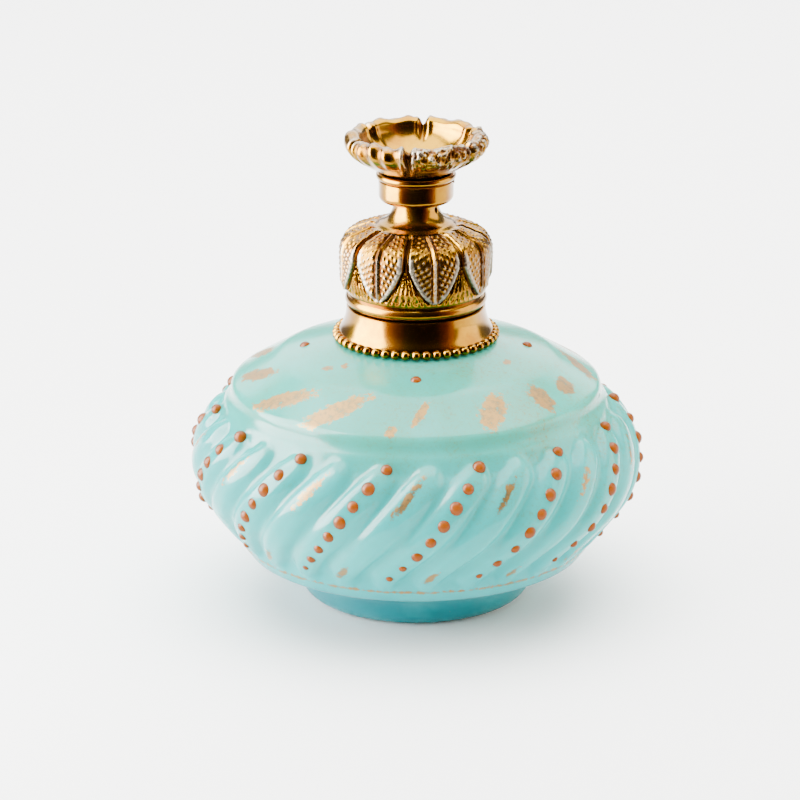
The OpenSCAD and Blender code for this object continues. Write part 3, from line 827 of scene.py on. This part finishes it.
SHOULDER_STROKES = (
    Stroke(-79.0, 28.3, 10.5, 4.0, 30.0), Stroke(-52.0, 29.2, 14.0, 4.2, 32.0),
    Stroke(-29.0, 28.7, 14.5, 4.6, 40.0), Stroke(-8.0, 31.2, 2.6, 3.0, 10.0),
    Stroke(1.5, 27.8, 1.9, 7.0, -30.0), Stroke(27.5, 28.4, 5.2, 10.0, -46.0),
    Stroke(50.0, 28.4, 5.0, 7.0, -6.0), Stroke(66.0, 28.4, 6.5, 4.2, 16.0),
    Stroke(92.0, 28.6, 11.0, 4.0, 34.0), Stroke(118.0, 28.8, 12.0, 4.2, 36.0),
    Stroke(145.0, 28.7, 11.5, 4.0, 32.0), Stroke(171.0, 28.7, 10.0, 4.0, 38.0),
    Stroke(-162.0, 28.6, 8.0, 4.4, 24.0), Stroke(-133.0, 28.8, 12.0, 4.2, 34.0),
    Stroke(-106.0, 28.6, 11.0, 4.0, 36.0), Stroke(-49.9, 20.0, 2.8, 1.8, 20.0),
    Stroke(-42.7, 18.1, 2.4, 1.6, -30.0), Stroke(56.9, 18.9, 2.8, 1.8, 30.0),
)


# ---------------------------------------------------------------- metal top

@dataclass
class Collar:
    """The polished flaring collar and its string of beads."""

    waist_r: float = 12.2
    rim_r: float = 13.5
    wall: float = 0.8
    spigot_r: float = 10.5
    spigot_bore_r: float = 9.2
    bead_z: float = 47.9
    seat_z: float = 46.93
    bead_r: float = 0.82
    beads: int = 48
    parting_z: float = 53.2
    dent_mm: float = 0.03
    skirt_low: float = 50.0
    skirt_high: float = 51.0
    columns: int = 192

    def build(self, finish: bpy.types.Material) -> None:
        """Build the collar and the beads.

        Args:
            finish: The gilt finish.
        """
        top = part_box("neck_collar")[1].z / MM
        bore = self.waist_r - self.wall
        edge = [(bore, self.seat_z + 1.2), (self.rim_r - 0.9, self.seat_z + 0.45),
            (self.rim_r, self.seat_z + 0.35), (self.rim_r + 0.15, self.bead_z + 0.55)]
        flare = [(self.rim_r, self.bead_z + 0.95), (self.waist_r + 0.62, self.bead_z + 2.1),
            (self.waist_r + 0.18, self.bead_z + 3.5), (self.waist_r, self.parting_z - 0.3)]
        crown = [(self.waist_r, self.parting_z), (self.spigot_r, self.parting_z), (self.spigot_r, top),
            (self.spigot_bore_r, top), (self.spigot_bore_r, self.parting_z - 0.6),
            (bore, self.parting_z - 0.6), (bore, self.seat_z + 1.4)]
        path = resample(edge + soften(flare, 3) + crown, 0.28)
        spread = np.ones((1, self.columns))
        turn = np.linspace(0.0, 2.0 * math.pi, self.columns, endpoint=False)[None, :]
        # The spun wall is out of true by a few hundredths, which is what bends its reflections
        skirt = ease(path[:, 1:2], self.bead_z, self.skirt_low)
        skirt = skirt * ease(-path[:, 1:2], -self.parting_z, -self.skirt_high) * (path[:, 0:1] > bore + 0.3)
        dents = self.dent_mm * skirt * (np.sin(3 * turn + 0.7) + 0.6 * np.sin(7 * turn + 2.1)
            + 0.3 * np.sin(13 * turn + 4.0))
        collar = revolve("collar_spun", path[:, 0:1] * spread + dents, path[:, 1:2] * spread, finish, True)
        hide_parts("neck_collar")
        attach(collar, "bottle")
        ring = self.rim_r + 0.45
        places = [(ring * math.cos(a), ring * math.sin(a), self.bead_z)
            for a in np.linspace(0.0, 2.0 * math.pi, self.beads, endpoint=False)]
        beads = grow("bead_string", drops_tree(), {"Segments": 14, "Rings": 9, "Finish": finish},
            points_mesh("bead_points", places, [self.bead_r] * self.beads))
        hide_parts("bead_wire")
        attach(beads, "bottle")
        LOG.info("collar: %d beads", self.beads)


@dataclass
class Dome:
    """The chased dome: eight pointed leaves over a fluted ground, a rolled ring and a plain neck."""

    dome_r: float = 12.9
    relief: float = 0.45
    leaves: int = 8
    leaf_turn: float = -75.3
    leaf_half: float = 4.75
    leaf_run: float = 14.6
    swell_run: float = 6.2
    scale_rise: float = 1.05
    scale_width: float = 0.85
    nick_pitch: float = 1.3
    pleat_share: float = 0.155
    roll_r: float = 1.1
    roll_out: float = 12.45
    foot_z: float = 53.35
    shoulder_z: float = 63.2
    neck_r: float = 3.95
    bore_r: float = 2.7
    thread_r: float = 10.55
    vent_z: float = 70.8
    vent_turn: float = -30.0
    vent_r: float = 0.33
    vent_sink: float = 0.7
    room_top: float = 64.3
    room_r: float = 8.6
    thread_top: float = 60.45
    columns: int = 512
    row_step: float = 0.2

    def outline(self, top: float) -> list[Point]:
        """Return the outside, from the foot up to the neck's top.

        Args:
            top: Height of the neck's top.

        Returns:
            The points in order.
        """
        roll_c = self.roll_out - self.roll_r
        line = arc((roll_c, self.foot_z + self.roll_r), self.roll_r, -85, 62, 12)
        line += [(self.dome_r - 0.6, self.foot_z + 2 * self.roll_r + 0.5), (self.dome_r, self.foot_z + 5.0)]
        line += arc((self.dome_r - 3.2, self.shoulder_z), 3.2, 0, 60, 8)
        line += [(self.neck_r + 3.3, self.shoulder_z + 4.35)]
        line += arc((self.neck_r + 3.6, self.shoulder_z + 8.4), 3.6, 252, 184, 10)
        return line + [(self.neck_r, top - 0.6), (self.neck_r, top)]

    def chasing(self, path: np.ndarray, run: np.ndarray, turn: np.ndarray) -> tuple[np.ndarray, ...]:
        """Work out the chased relief.

        Args:
            path: Outside line, shape (rows, 2).
            run: Length along it from the leaves' tips, shape (rows, 1).
            turn: Angle of each column in degrees, shape (1, columns).

        Returns:
            Relief in millimetres, wear and patina, each of shape (rows, columns).
        """
        share = 360.0 / self.leaves
        place_in = (turn - self.leaf_turn) / share
        across = np.radians((place_in - np.round(place_in)) * share) * path[:, 0:1]
        half_pitch = math.pi / self.leaves * path[:, 0:1]
        # Outline of a leaf: a rounded tip, widest at the shoulder, then narrowing to the neck with its dome
        swell = np.clip(run / self.swell_run, 0.0, 1.0) ** 0.52
        half = np.minimum(self.leaf_half * swell, 0.95 * half_pitch)
        inside = half - np.abs(across)
        length = self.leaf_run
        on_leaf = ease(inside, 0.0, 0.45) * ease(run, 0.0, 0.3) * ease(-run, -length, -length + 1.2)
        border = ease(inside, 0.15, 0.45) * ease(-inside, -1.25, -0.9) * on_leaf
        groove = np.exp(-(inside / 0.24) ** 2) * ease(run, -0.2, 0.4) * ease(-run, -length, -length + 1.2)
        midrib = np.exp(-(across / 0.2) ** 2) * on_leaf
        beside = np.exp(-((np.abs(across) - 0.55) / 0.25) ** 2) * on_leaf * ease(inside, 0.6, 1.4)
        # Punched scales in slanting rows a millimetre apart
        slant = run + 0.55 * np.abs(across)
        rows = np.sin(2 * math.pi * slant / self.scale_rise)
        bricks = np.sin(2 * math.pi * np.abs(across) / self.scale_width
            + math.pi * np.floor(slant / self.scale_rise))
        field = on_leaf * ease(inside, 0.95, 1.3) * ease(np.abs(across), 0.35, 0.7)
        scale = field * np.maximum(0.0, rows * 0.6 + bricks * 0.5)
        # Ground between the tips: pleats that spread from the top of each gap, with a punched hem
        gap = half_pitch - np.abs(across)
        ground = (1.0 - on_leaf) * ease(run, -0.4, 0.4) * ease(-run, -7.4, -6.4)
        spread = gap / np.maximum(0.4, 7.2 - run)
        pleats = ground * np.cos(2 * math.pi * spread / self.pleat_share)
        hem = ground * np.exp(-((run - 0.5) / 0.4) ** 2) * np.cos(2 * math.pi * gap / 0.8)
        # Notches across the leaf's border, as the veins run out to it
        nicks = border * np.maximum(0.0, np.cos(2 * math.pi * slant / self.nick_pitch)) ** 3
        height = (self.relief * on_leaf + 0.1 * border - 0.36 * groove + 0.2 * midrib - 0.24 * beside
            + 0.2 * scale - 0.1 * nicks + 0.14 * pleats + 0.15 * hem - 0.06 * ground)
        wall = ease(-run, -9.2, -7.2)
        wear = (0.85 * border + 0.5 * midrib + 0.4 * scale) * (0.16 + 0.84 * wall) + 0.25 * on_leaf * wall
        valleys = 0.5 - 0.5 * np.cos(2 * math.pi * spread / self.pleat_share)
        patina = (0.95 * groove + 0.8 * beside + 0.6 * field * (1.0 - np.clip(scale * 1.6, 0, 1))
            + 0.5 * nicks + 0.4 * ground * valleys)
        return height, np.clip(wear, 0.0, 1.0), np.clip(patina, 0.0, 1.0)

    def build(self, finish: bpy.types.Material) -> None:
        """Build the dome.

        Args:
            finish: The gilt finish.
        """
        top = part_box("leaf_dome")[1].z / MM
        path = resample(self.outline(top), self.row_step)
        run = np.concatenate([[0.0], np.cumsum(np.hypot(*np.diff(path, axis=0).T))])
        tip = run[int(np.argmax(path[:, 1] > self.foot_z + 2 * self.roll_r + 0.9))]
        turn = np.linspace(0.0, 360.0, self.columns, endpoint=False)[None, :]
        height, wear, patina = self.chasing(path, (run - tip)[:, None], turn)
        normals = outward(path)
        radii = path[:, 0:1] + normals[:, 0:1] * height
        heights = path[:, 1:2] + normals[:, 1:2] * height
        # The vent is a pit pressed into the neck, its floor darkened with painted shade through the patina
        # channel
        off = np.hypot(np.radians((turn - self.vent_turn + 180.0) % 360.0 - 180.0) * self.neck_r,
            path[:, 1:2] - self.vent_z)
        pit = (1.0 - ease(off, 0.6 * self.vent_r, 1.5 * self.vent_r)) * (path[:, 0:1] < 6.0)
        radii = radii - self.vent_sink * pit
        patina = np.maximum(patina, pit)
        inner = resample([(self.bore_r, top), (self.bore_r, self.room_top), (self.room_r, self.room_top),
            (self.room_r, self.thread_top), (self.thread_r, self.thread_top), (self.thread_r, self.foot_z)],
            1.0)
        spread = np.ones((1, self.columns))
        radii = np.vstack([radii, inner[:, 0:1] * spread])
        heights = np.vstack([heights, inner[:, 1:2] * spread])
        blank = np.zeros((len(inner), self.columns))
        dome = revolve("dome_chased", radii, heights, finish, True,
            {"wear": np.vstack([wear, blank]), "patina": np.vstack([patina, blank])}, 60.0)
        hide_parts("leaf_dome")
        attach(dome, "dome")
        LOG.info("dome: %d faces", len(dome.data.polygons))


@dataclass
class Button:
    """The push button: a plain drum under an open flower with a ring of stamens."""

    drum_r: float = 6.55
    drum_wall: float = 0.65
    flower_r: float = 12.5
    petals: int = 6
    junction: float = -97.0
    pleated_petal: int = 5
    part_pleated: tuple[int, ...] = (2, 3)
    rough_petals: tuple[int, ...] = (0, 1)
    rough_mm: float = 0.8
    pleats: float = 4.5
    crease_w: float = 0.42
    ridge_out: float = 1.05
    stamen_r: float = 4.0
    stamens: int = 12
    stamen_size: float = 0.68
    seed_r: float = 2.4
    seeds: int = 7
    seed_size: float = 0.4
    drum_columns: int = 160
    columns: int = 480

    def drum(self, finish: bpy.types.Material) -> None:
        """Build the drum.

        Args:
            finish: The polished gilt finish.
        """
        low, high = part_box("drum_shell")
        foot, top = low.z / MM, high.z / MM
        bore = self.drum_r - self.drum_wall
        path = [(bore - 0.45, foot + 0.3)]
        path += [(bore - 0.3, foot + 0.03)] + arc((self.drum_r - 1.1, foot + 1.1), 1.1, -85, 0, 8)
        path += [(self.drum_r, top - 1.5), (self.drum_r - 0.28, top - 1.36), (self.drum_r - 0.28, top - 1.26)]
        path += arc((self.drum_r - 0.15, top - 0.6), 0.6, -90, 90, 12)
        path += [(0.9, top), (0.9, top - 0.7), (bore, top - 0.7), (bore, foot + 0.9),
            (bore - 0.45, foot + 0.35)]
        line = resample(path, 0.2)
        spread = np.ones((1, self.drum_columns))
        turn = np.linspace(0.0, 2.0 * math.pi, self.drum_columns, endpoint=False)[None, :]
        wall = ease(line[:, 1:2], foot, foot + 1.5) * ease(-line[:, 1:2], -top + 1.4, -top + 2.4)
        dents = 0.03 * wall * (line[:, 0:1] > self.drum_r - 0.2) * (np.sin(5 * turn) + np.sin(9 * turn + 1.0))
        drum = revolve("drum_turned", line[:, 0:1] * spread + dents, line[:, 1:2] * spread, finish, True)
        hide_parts("drum_shell")
        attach(drum, "button")

    def flower_line(self, foot: float, top: float) -> list[Point]:
        """Return the flower's section: out and up the back of a petal, over the lip and down the bowl.

        Args:
            foot: Height of its underside.
            top: Height of its lip.

        Returns:
            The points in order, both ends on the axis.
        """
        r = self.flower_r
        back = [(0.0, foot), (self.drum_r - 1.0, foot), (self.drum_r + 0.6, foot + 0.6),
            (r * 0.72, foot + 1.8), (r * 0.88, foot + 2.8), (r * 0.98, foot + 4.3)]
        lip = arc((r - 1.5, top - 1.7), 1.55, -20, 150, 9)
        bowl = [(r - 3.1, top - 2.2), (r - 4.5, top - 3.9), (self.stamen_r + 1.6, foot + 1.5),
            (0.0, foot + 1.5)]
        return soften(back + lip + bowl, 2)

    def flower(self, finish: bpy.types.Material) -> None:
        """Build the flower.

        Args:
            finish: The gilt finish.
        """
        low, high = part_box("flower_cup")
        foot, top = low.z / MM, high.z / MM
        path = resample(self.flower_line(foot, top), 0.26)
        run = np.concatenate([[0.0], np.cumsum(np.hypot(*np.diff(path, axis=0).T))])[:, None]
        lip_run = run[int(np.argmax(path[:, 1]))]
        turn = np.linspace(0.0, 360.0, self.columns, endpoint=False)[None, :]
        share = 360.0 / self.petals
        step = (turn - self.junction) / share
        petal = np.floor(step).astype(int) % self.petals
        offset = np.radians((step - np.round(step)) * share)
        across = offset * path[:, 0:1]
        rise = ease(path[:, 0:1], self.drum_r, self.flower_r - 1.5)
        back = (run < lip_run) * 1.0
        # Petals meet in a deep crease with a ridge on each side of it
        crease = np.exp(-(across / self.crease_w) ** 2)
        ridge = np.exp(-((np.abs(across) - self.ridge_out) / self.crease_w) ** 2)
        sag = 1.0 - np.abs(np.cos(math.pi * step)) ** 5
        puff = rise * (0.55 * np.sqrt(np.clip(sag, 0.0, 1.0)) - 0.55)
        # Pleats cross one petal's lip and the backs of two more, and two petals are rough from the casting
        pleated = (petal == self.pleated_petal) + 0.5 * back * np.isin(petal, self.part_pleated)
        pleats = np.cos(2 * math.pi * (step - np.floor(step)) * self.pleats
            + 0.35 * (run - lip_run)) * pleated
        rough = np.isin(petal, self.rough_petals) * (1.0 - crease)
        seed = mottle(path[:, 0:1] * np.cos(np.radians(turn)), path[:, 0:1] * np.sin(np.radians(turn)),
            path[:, 1:2], self.rough_mm)
        near_lip = np.exp(-((run - lip_run + 1.6) / 3.0) ** 2)
        shape = puff - 0.75 * rise * crease + 0.32 * rise * ridge
        shape = shape + 0.3 * pleats * near_lip * rise * (1 - crease) + 0.42 * seed * rough * back * near_lip
        normals = outward(path)
        radii = path[:, 0:1] + normals[:, 0:1] * shape
        waves = 0.28 * np.sin(2 * math.pi * (step - np.floor(step)) * 2.0 + petal * 1.7) * near_lip
        heights = path[:, 1:2] + normals[:, 1:2] * shape * 0.8 + waves * rise - 0.5 * rise * near_lip * crease
        heights = np.minimum(heights, top + 0.2)
        tip = np.exp(-((run - lip_run + 0.3) / 1.1) ** 2)
        wear = rise * (0.38 * tip + 0.4 * ridge * near_lip + 0.15 * near_lip * np.clip(pleats, 0, 1)
            + rough * back * near_lip * (0.1 + 1.1 * np.clip(seed, 0.0, 0.5)))
        patina = rise * (crease + 0.7 * back * near_lip * np.clip(-pleats, 0, 1)
            + rough * back * near_lip * np.clip(0.55 - 2.4 * seed, 0.0, 0.95))
        flower = revolve("flower_petals", radii, heights, finish, False,
            {"wear": np.clip(wear, 0, 1), "patina": np.clip(patina, 0, 1)}, 70.0)
        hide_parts("flower_cup")
        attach(flower, "button")
        LOG.info("flower: %d faces", len(flower.data.polygons))

    def stamen_ring(self, finish: bpy.types.Material) -> None:
        """Build the stamens on their disc.

        Args:
            finish: The gilt finish.
        """
        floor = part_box("stamen_rosette")[0].z / MM
        places = [(self.stamen_r * math.cos(a), self.stamen_r * math.sin(a), floor + 0.5)
            for a in np.linspace(0.0, 2.0 * math.pi, self.stamens, endpoint=False)]
        places += [(self.seed_r * math.cos(a), self.seed_r * math.sin(a), floor + 0.45)
            for a in np.linspace(0.3, 2.0 * math.pi + 0.3, self.seeds, endpoint=False)]
        sizes = [self.stamen_size] * self.stamens + [self.seed_size] * self.seeds
        ring = grow("stamen_ring", drops_tree(), {"Segments": 16, "Rings": 10, "Finish": finish},
            points_mesh("stamen_points", places, sizes))
        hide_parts("stamen_rosette")
        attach(ring, "button")

    def build(self, finish: bpy.types.Material, polished: bpy.types.Material) -> None:
        """Build the whole button.

        Args:
            finish: The chased gilt finish.
            polished: The polished gilt finish.
        """
        self.drum(polished)
        self.flower(finish)
        self.stamen_ring(finish)
        LOG.info("button: drum, flower and %d stamens", self.stamens)


@dataclass
class Pump:
    """The finger pump inside the neck: its spring, and the finish of each working piece."""

    turns: float = 6.0
    wire_r: float = 0.22
    keep: float = 0.72

    def spring(self) -> None:
        """Wind the return spring to the size of its frame piece."""
        low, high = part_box("return_spring")
        rise = (high.z - low.z) - 2.0 * self.wire_r * MM
        coil = 0.5 * (high.x - low.x) - self.wire_r * MM
        piece = grow("return_coil", coil_tree(), {"Turns": self.turns, "Coil Radius": coil,
            "Wire Radius": self.wire_r * MM, "Rise": rise, "Foot": (0.0, 0.0, low.z + self.wire_r * MM),
            "Finish": Stock.DRAWN_STEEL.value.build()})
        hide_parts("return_spring")
        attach(piece, "pump")
        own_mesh(piece)

    def build(self) -> None:
        """Build the spring and dress the other working pieces."""
        self.spring()
        nodes = {Stock.TURNED_BRASS: ("pump_barrel", "inlet_cage", "gland_nut", "piston_head", "piston_screw",
            "button_core", "spray_tube", "flower_screw"),
            Stock.DRAWN_STEEL: ("pump_stem", "inlet_ball", "outlet_ball", "spray_nozzle"),
            Stock.CORK: ("sealing_washer",), Stock.PLASTER: ("neck_plaster",), Stock.LEATHER: ("piston_cup",),
            Stock.PACKING: ("gland_packing",), Stock.GLASS_TUBE: ("dip_tube",)}
        for stock, names in nodes.items():
            material = stock.value.build()
            for name in names:
                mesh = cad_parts[name].data
                mesh.materials.clear()
                mesh.materials.append(material)
        LOG.info("pump: %d pieces dressed", sum(len(names) for names in nodes.values()))


# ---------------------------------------------------------------- studio

@dataclass(frozen=True)
class Lamp:
    """A soft box: where it hangs, how big it is, how it shines, and whether only gloss sees it."""

    name: str
    place: tuple[float, float, float]
    width: float
    height: float
    watts: float
    colour: str
    glint: bool = False


@dataclass
class Studio:
    """The pale floor, the soft boxes, the flag, the daylight and the camera."""

    aim: tuple[float, float, float] = (0.0, 0.0, 43.2)
    distance: float = 700.0
    elevation: float = 18.0
    lens: float = 178.4
    shift: Point = (-0.02, -0.05375)
    floor_half: float = 6000.0
    ambient: float = 0.4
    daylight: float = 4.5
    daylight_spread: float = 80.0
    flag_r: float = 115.0
    flag_top: float = 330.0
    flag_from: float = -50.0
    flag_to: float = 62.0

    def lamp(self, lamp: Lamp) -> None:
        """Hang one soft box, facing the bottle.

        Args:
            lamp: The soft box.
        """
        light = bpy.data.lights.new(lamp.name, "AREA")
        light.shape = "RECTANGLE"
        light.size, light.size_y = lamp.width * MM, lamp.height * MM
        light.energy = lamp.watts
        light.color = hex_linear(lamp.colour)[:3]
        holder = bpy.data.objects.new(lamp.name, light)
        bpy.context.scene.collection.objects.link(holder)
        # A glint card lights nothing: it only stands in the gloss of the metal and the glass
        holder.visible_camera = False
        holder.visible_diffuse = holder.visible_transmission = not lamp.glint
        reach = np.array(self.aim) - np.array(lamp.place)
        flat = math.hypot(reach[0], reach[1])
        holder.location = [c * MM for c in lamp.place]
        holder.rotation_euler = (math.atan2(flat, -reach[2]), 0.0, math.atan2(-reach[0], reach[1]))

    def floor(self) -> None:
        """Lay the pale floor."""
        material, add = new_material("painted_board_matt")
        shader = add("BsdfPrincipled", {"Base Color": hex_linear("#f7f7f6"), "Roughness": 0.7})
        add("OutputMaterial", {"Surface": shader})
        half = self.floor_half * MM
        mesh = bpy.data.meshes.new("floor")
        mesh.from_pydata([(-half, -half, 0), (half, -half, 0), (half, half, 0), (-half, half, 0)], [],
            [(0, 1, 2, 3)])
        place("floor", mesh, material)

    def flag(self) -> None:
        """Hang a curved dark flag in front, which only glossy reflections see."""
        material, add = new_material("painted_reflection_flag")
        # Painted reflection: the flag is black in the middle and warm brown at its two ends, which softens
        # the edge of its reflection in the metal
        spot = add("TexCoord").outputs["Object"]
        split = add("SeparateXYZ", {0: spot})
        ahead = add("Math", {0: split.outputs[1], 1: -1.0}, operation="MULTIPLY")
        turn = add("Math", {0: split, 1: ahead}, operation="ARCTAN2")
        share = add("MapRange", {0: turn, 1: math.radians(self.flag_from), 2: math.radians(self.flag_to)})
        tint = add("ValToRGB", {0: share}, stops=((0.0, "#b8763a"), (0.14, "#541f0d"), (0.3, "#0a0403"),
            (0.74, "#0c0504"), (0.88, "#4a2010"), (1.0, "#9a6434")))
        shader = add("BsdfPrincipled", {"Base Color": tint, "Roughness": 0.9, "Specular IOR Level": 0.0})
        add("OutputMaterial", {"Surface": shader})
        turns = np.radians(np.linspace(self.flag_from, self.flag_to, 25))
        points = [(self.flag_r * math.sin(t) * MM, -self.flag_r * math.cos(t) * MM, z * MM)
            for z in (1.0, self.flag_top) for t in turns]
        count = len(turns)
        mesh = bpy.data.meshes.new("flag")
        mesh.from_pydata(points, [], [(i, i + 1, count + i + 1, count + i) for i in range(count - 1)])
        card = place("flag", mesh, material)
        card.visible_camera = card.visible_diffuse = card.visible_shadow = card.visible_transmission = False

    def build(self) -> None:
        """Set up the floor, the flag, the lamps, the daylight, the world and the camera."""
        self.floor()
        self.flag()
        for lamp in SOFT_BOXES:
            self.lamp(lamp)
        # Soft daylight from above keeps the floor as pale far off as it is under the boxes
        daylight = bpy.data.lights.new("daylight", "SUN")
        daylight.energy, daylight.angle = self.daylight, math.radians(self.daylight_spread)
        bpy.context.scene.collection.objects.link(bpy.data.objects.new("daylight", daylight))
        world = bpy.data.worlds.new("studio")
        world.use_nodes = True
        world.node_tree.nodes["Background"].inputs[0].default_value = hex_linear("#ffffff")
        world.node_tree.nodes["Background"].inputs[1].default_value = self.ambient
        bpy.context.scene.world = world
        tilt = math.radians(self.elevation)
        camera = bpy.data.cameras.new("camera")
        camera.lens, camera.sensor_width = self.lens, 36.0
        camera.shift_x, camera.shift_y = self.shift
        holder = bpy.data.objects.new("camera", camera)
        bpy.context.scene.collection.objects.link(holder)
        holder.location = (self.aim[0] * MM, (self.aim[1] - self.distance * math.cos(tilt)) * MM,
            (self.aim[2] + self.distance * math.sin(tilt)) * MM)
        holder.rotation_euler = (math.radians(90.0 - self.elevation), 0.0, 0.0)
        bpy.context.scene.camera = holder
        LOG.info("studio: %d soft boxes", len(SOFT_BOXES))


SOFT_BOXES = (
    Lamp("box_left", (-560.0, -110.0, 190.0), 700.0, 420.0, 12.0, "#ffffff"),
    Lamp("box_right", (560.0, 30.0, 220.0), 460.0, 420.0, 4.5, "#fff3e2"),
    Lamp("box_top", (0.0, 120.0, 720.0), 900.0, 900.0, 24.0, "#ffffff"),
    Lamp("box_back", (0.0, 700.0, 420.0), 900.0, 500.0, 8.0, "#ffffff"),
    Lamp("card_left", (-140.0, -28.0, 104.0), 150.0, 205.0, 4.5, "#ffffff", True),
)


def main() -> None:
    """Build the studio, then the atomiser from the bottle up."""
    logging.basicConfig(level=logging.INFO, format="%(message)s")
    chased = GiltBrass().build()
    polished = GiltBrass("gilt_brass_polished", roughness=0.17, grain=0.04).build()
    Studio().build()
    Bottle().build()
    Collar().build(polished)
    Dome().build(chased)
    Button().build(chased, polished)
    Pump().build()


if __name__ == "__main__":
    main()
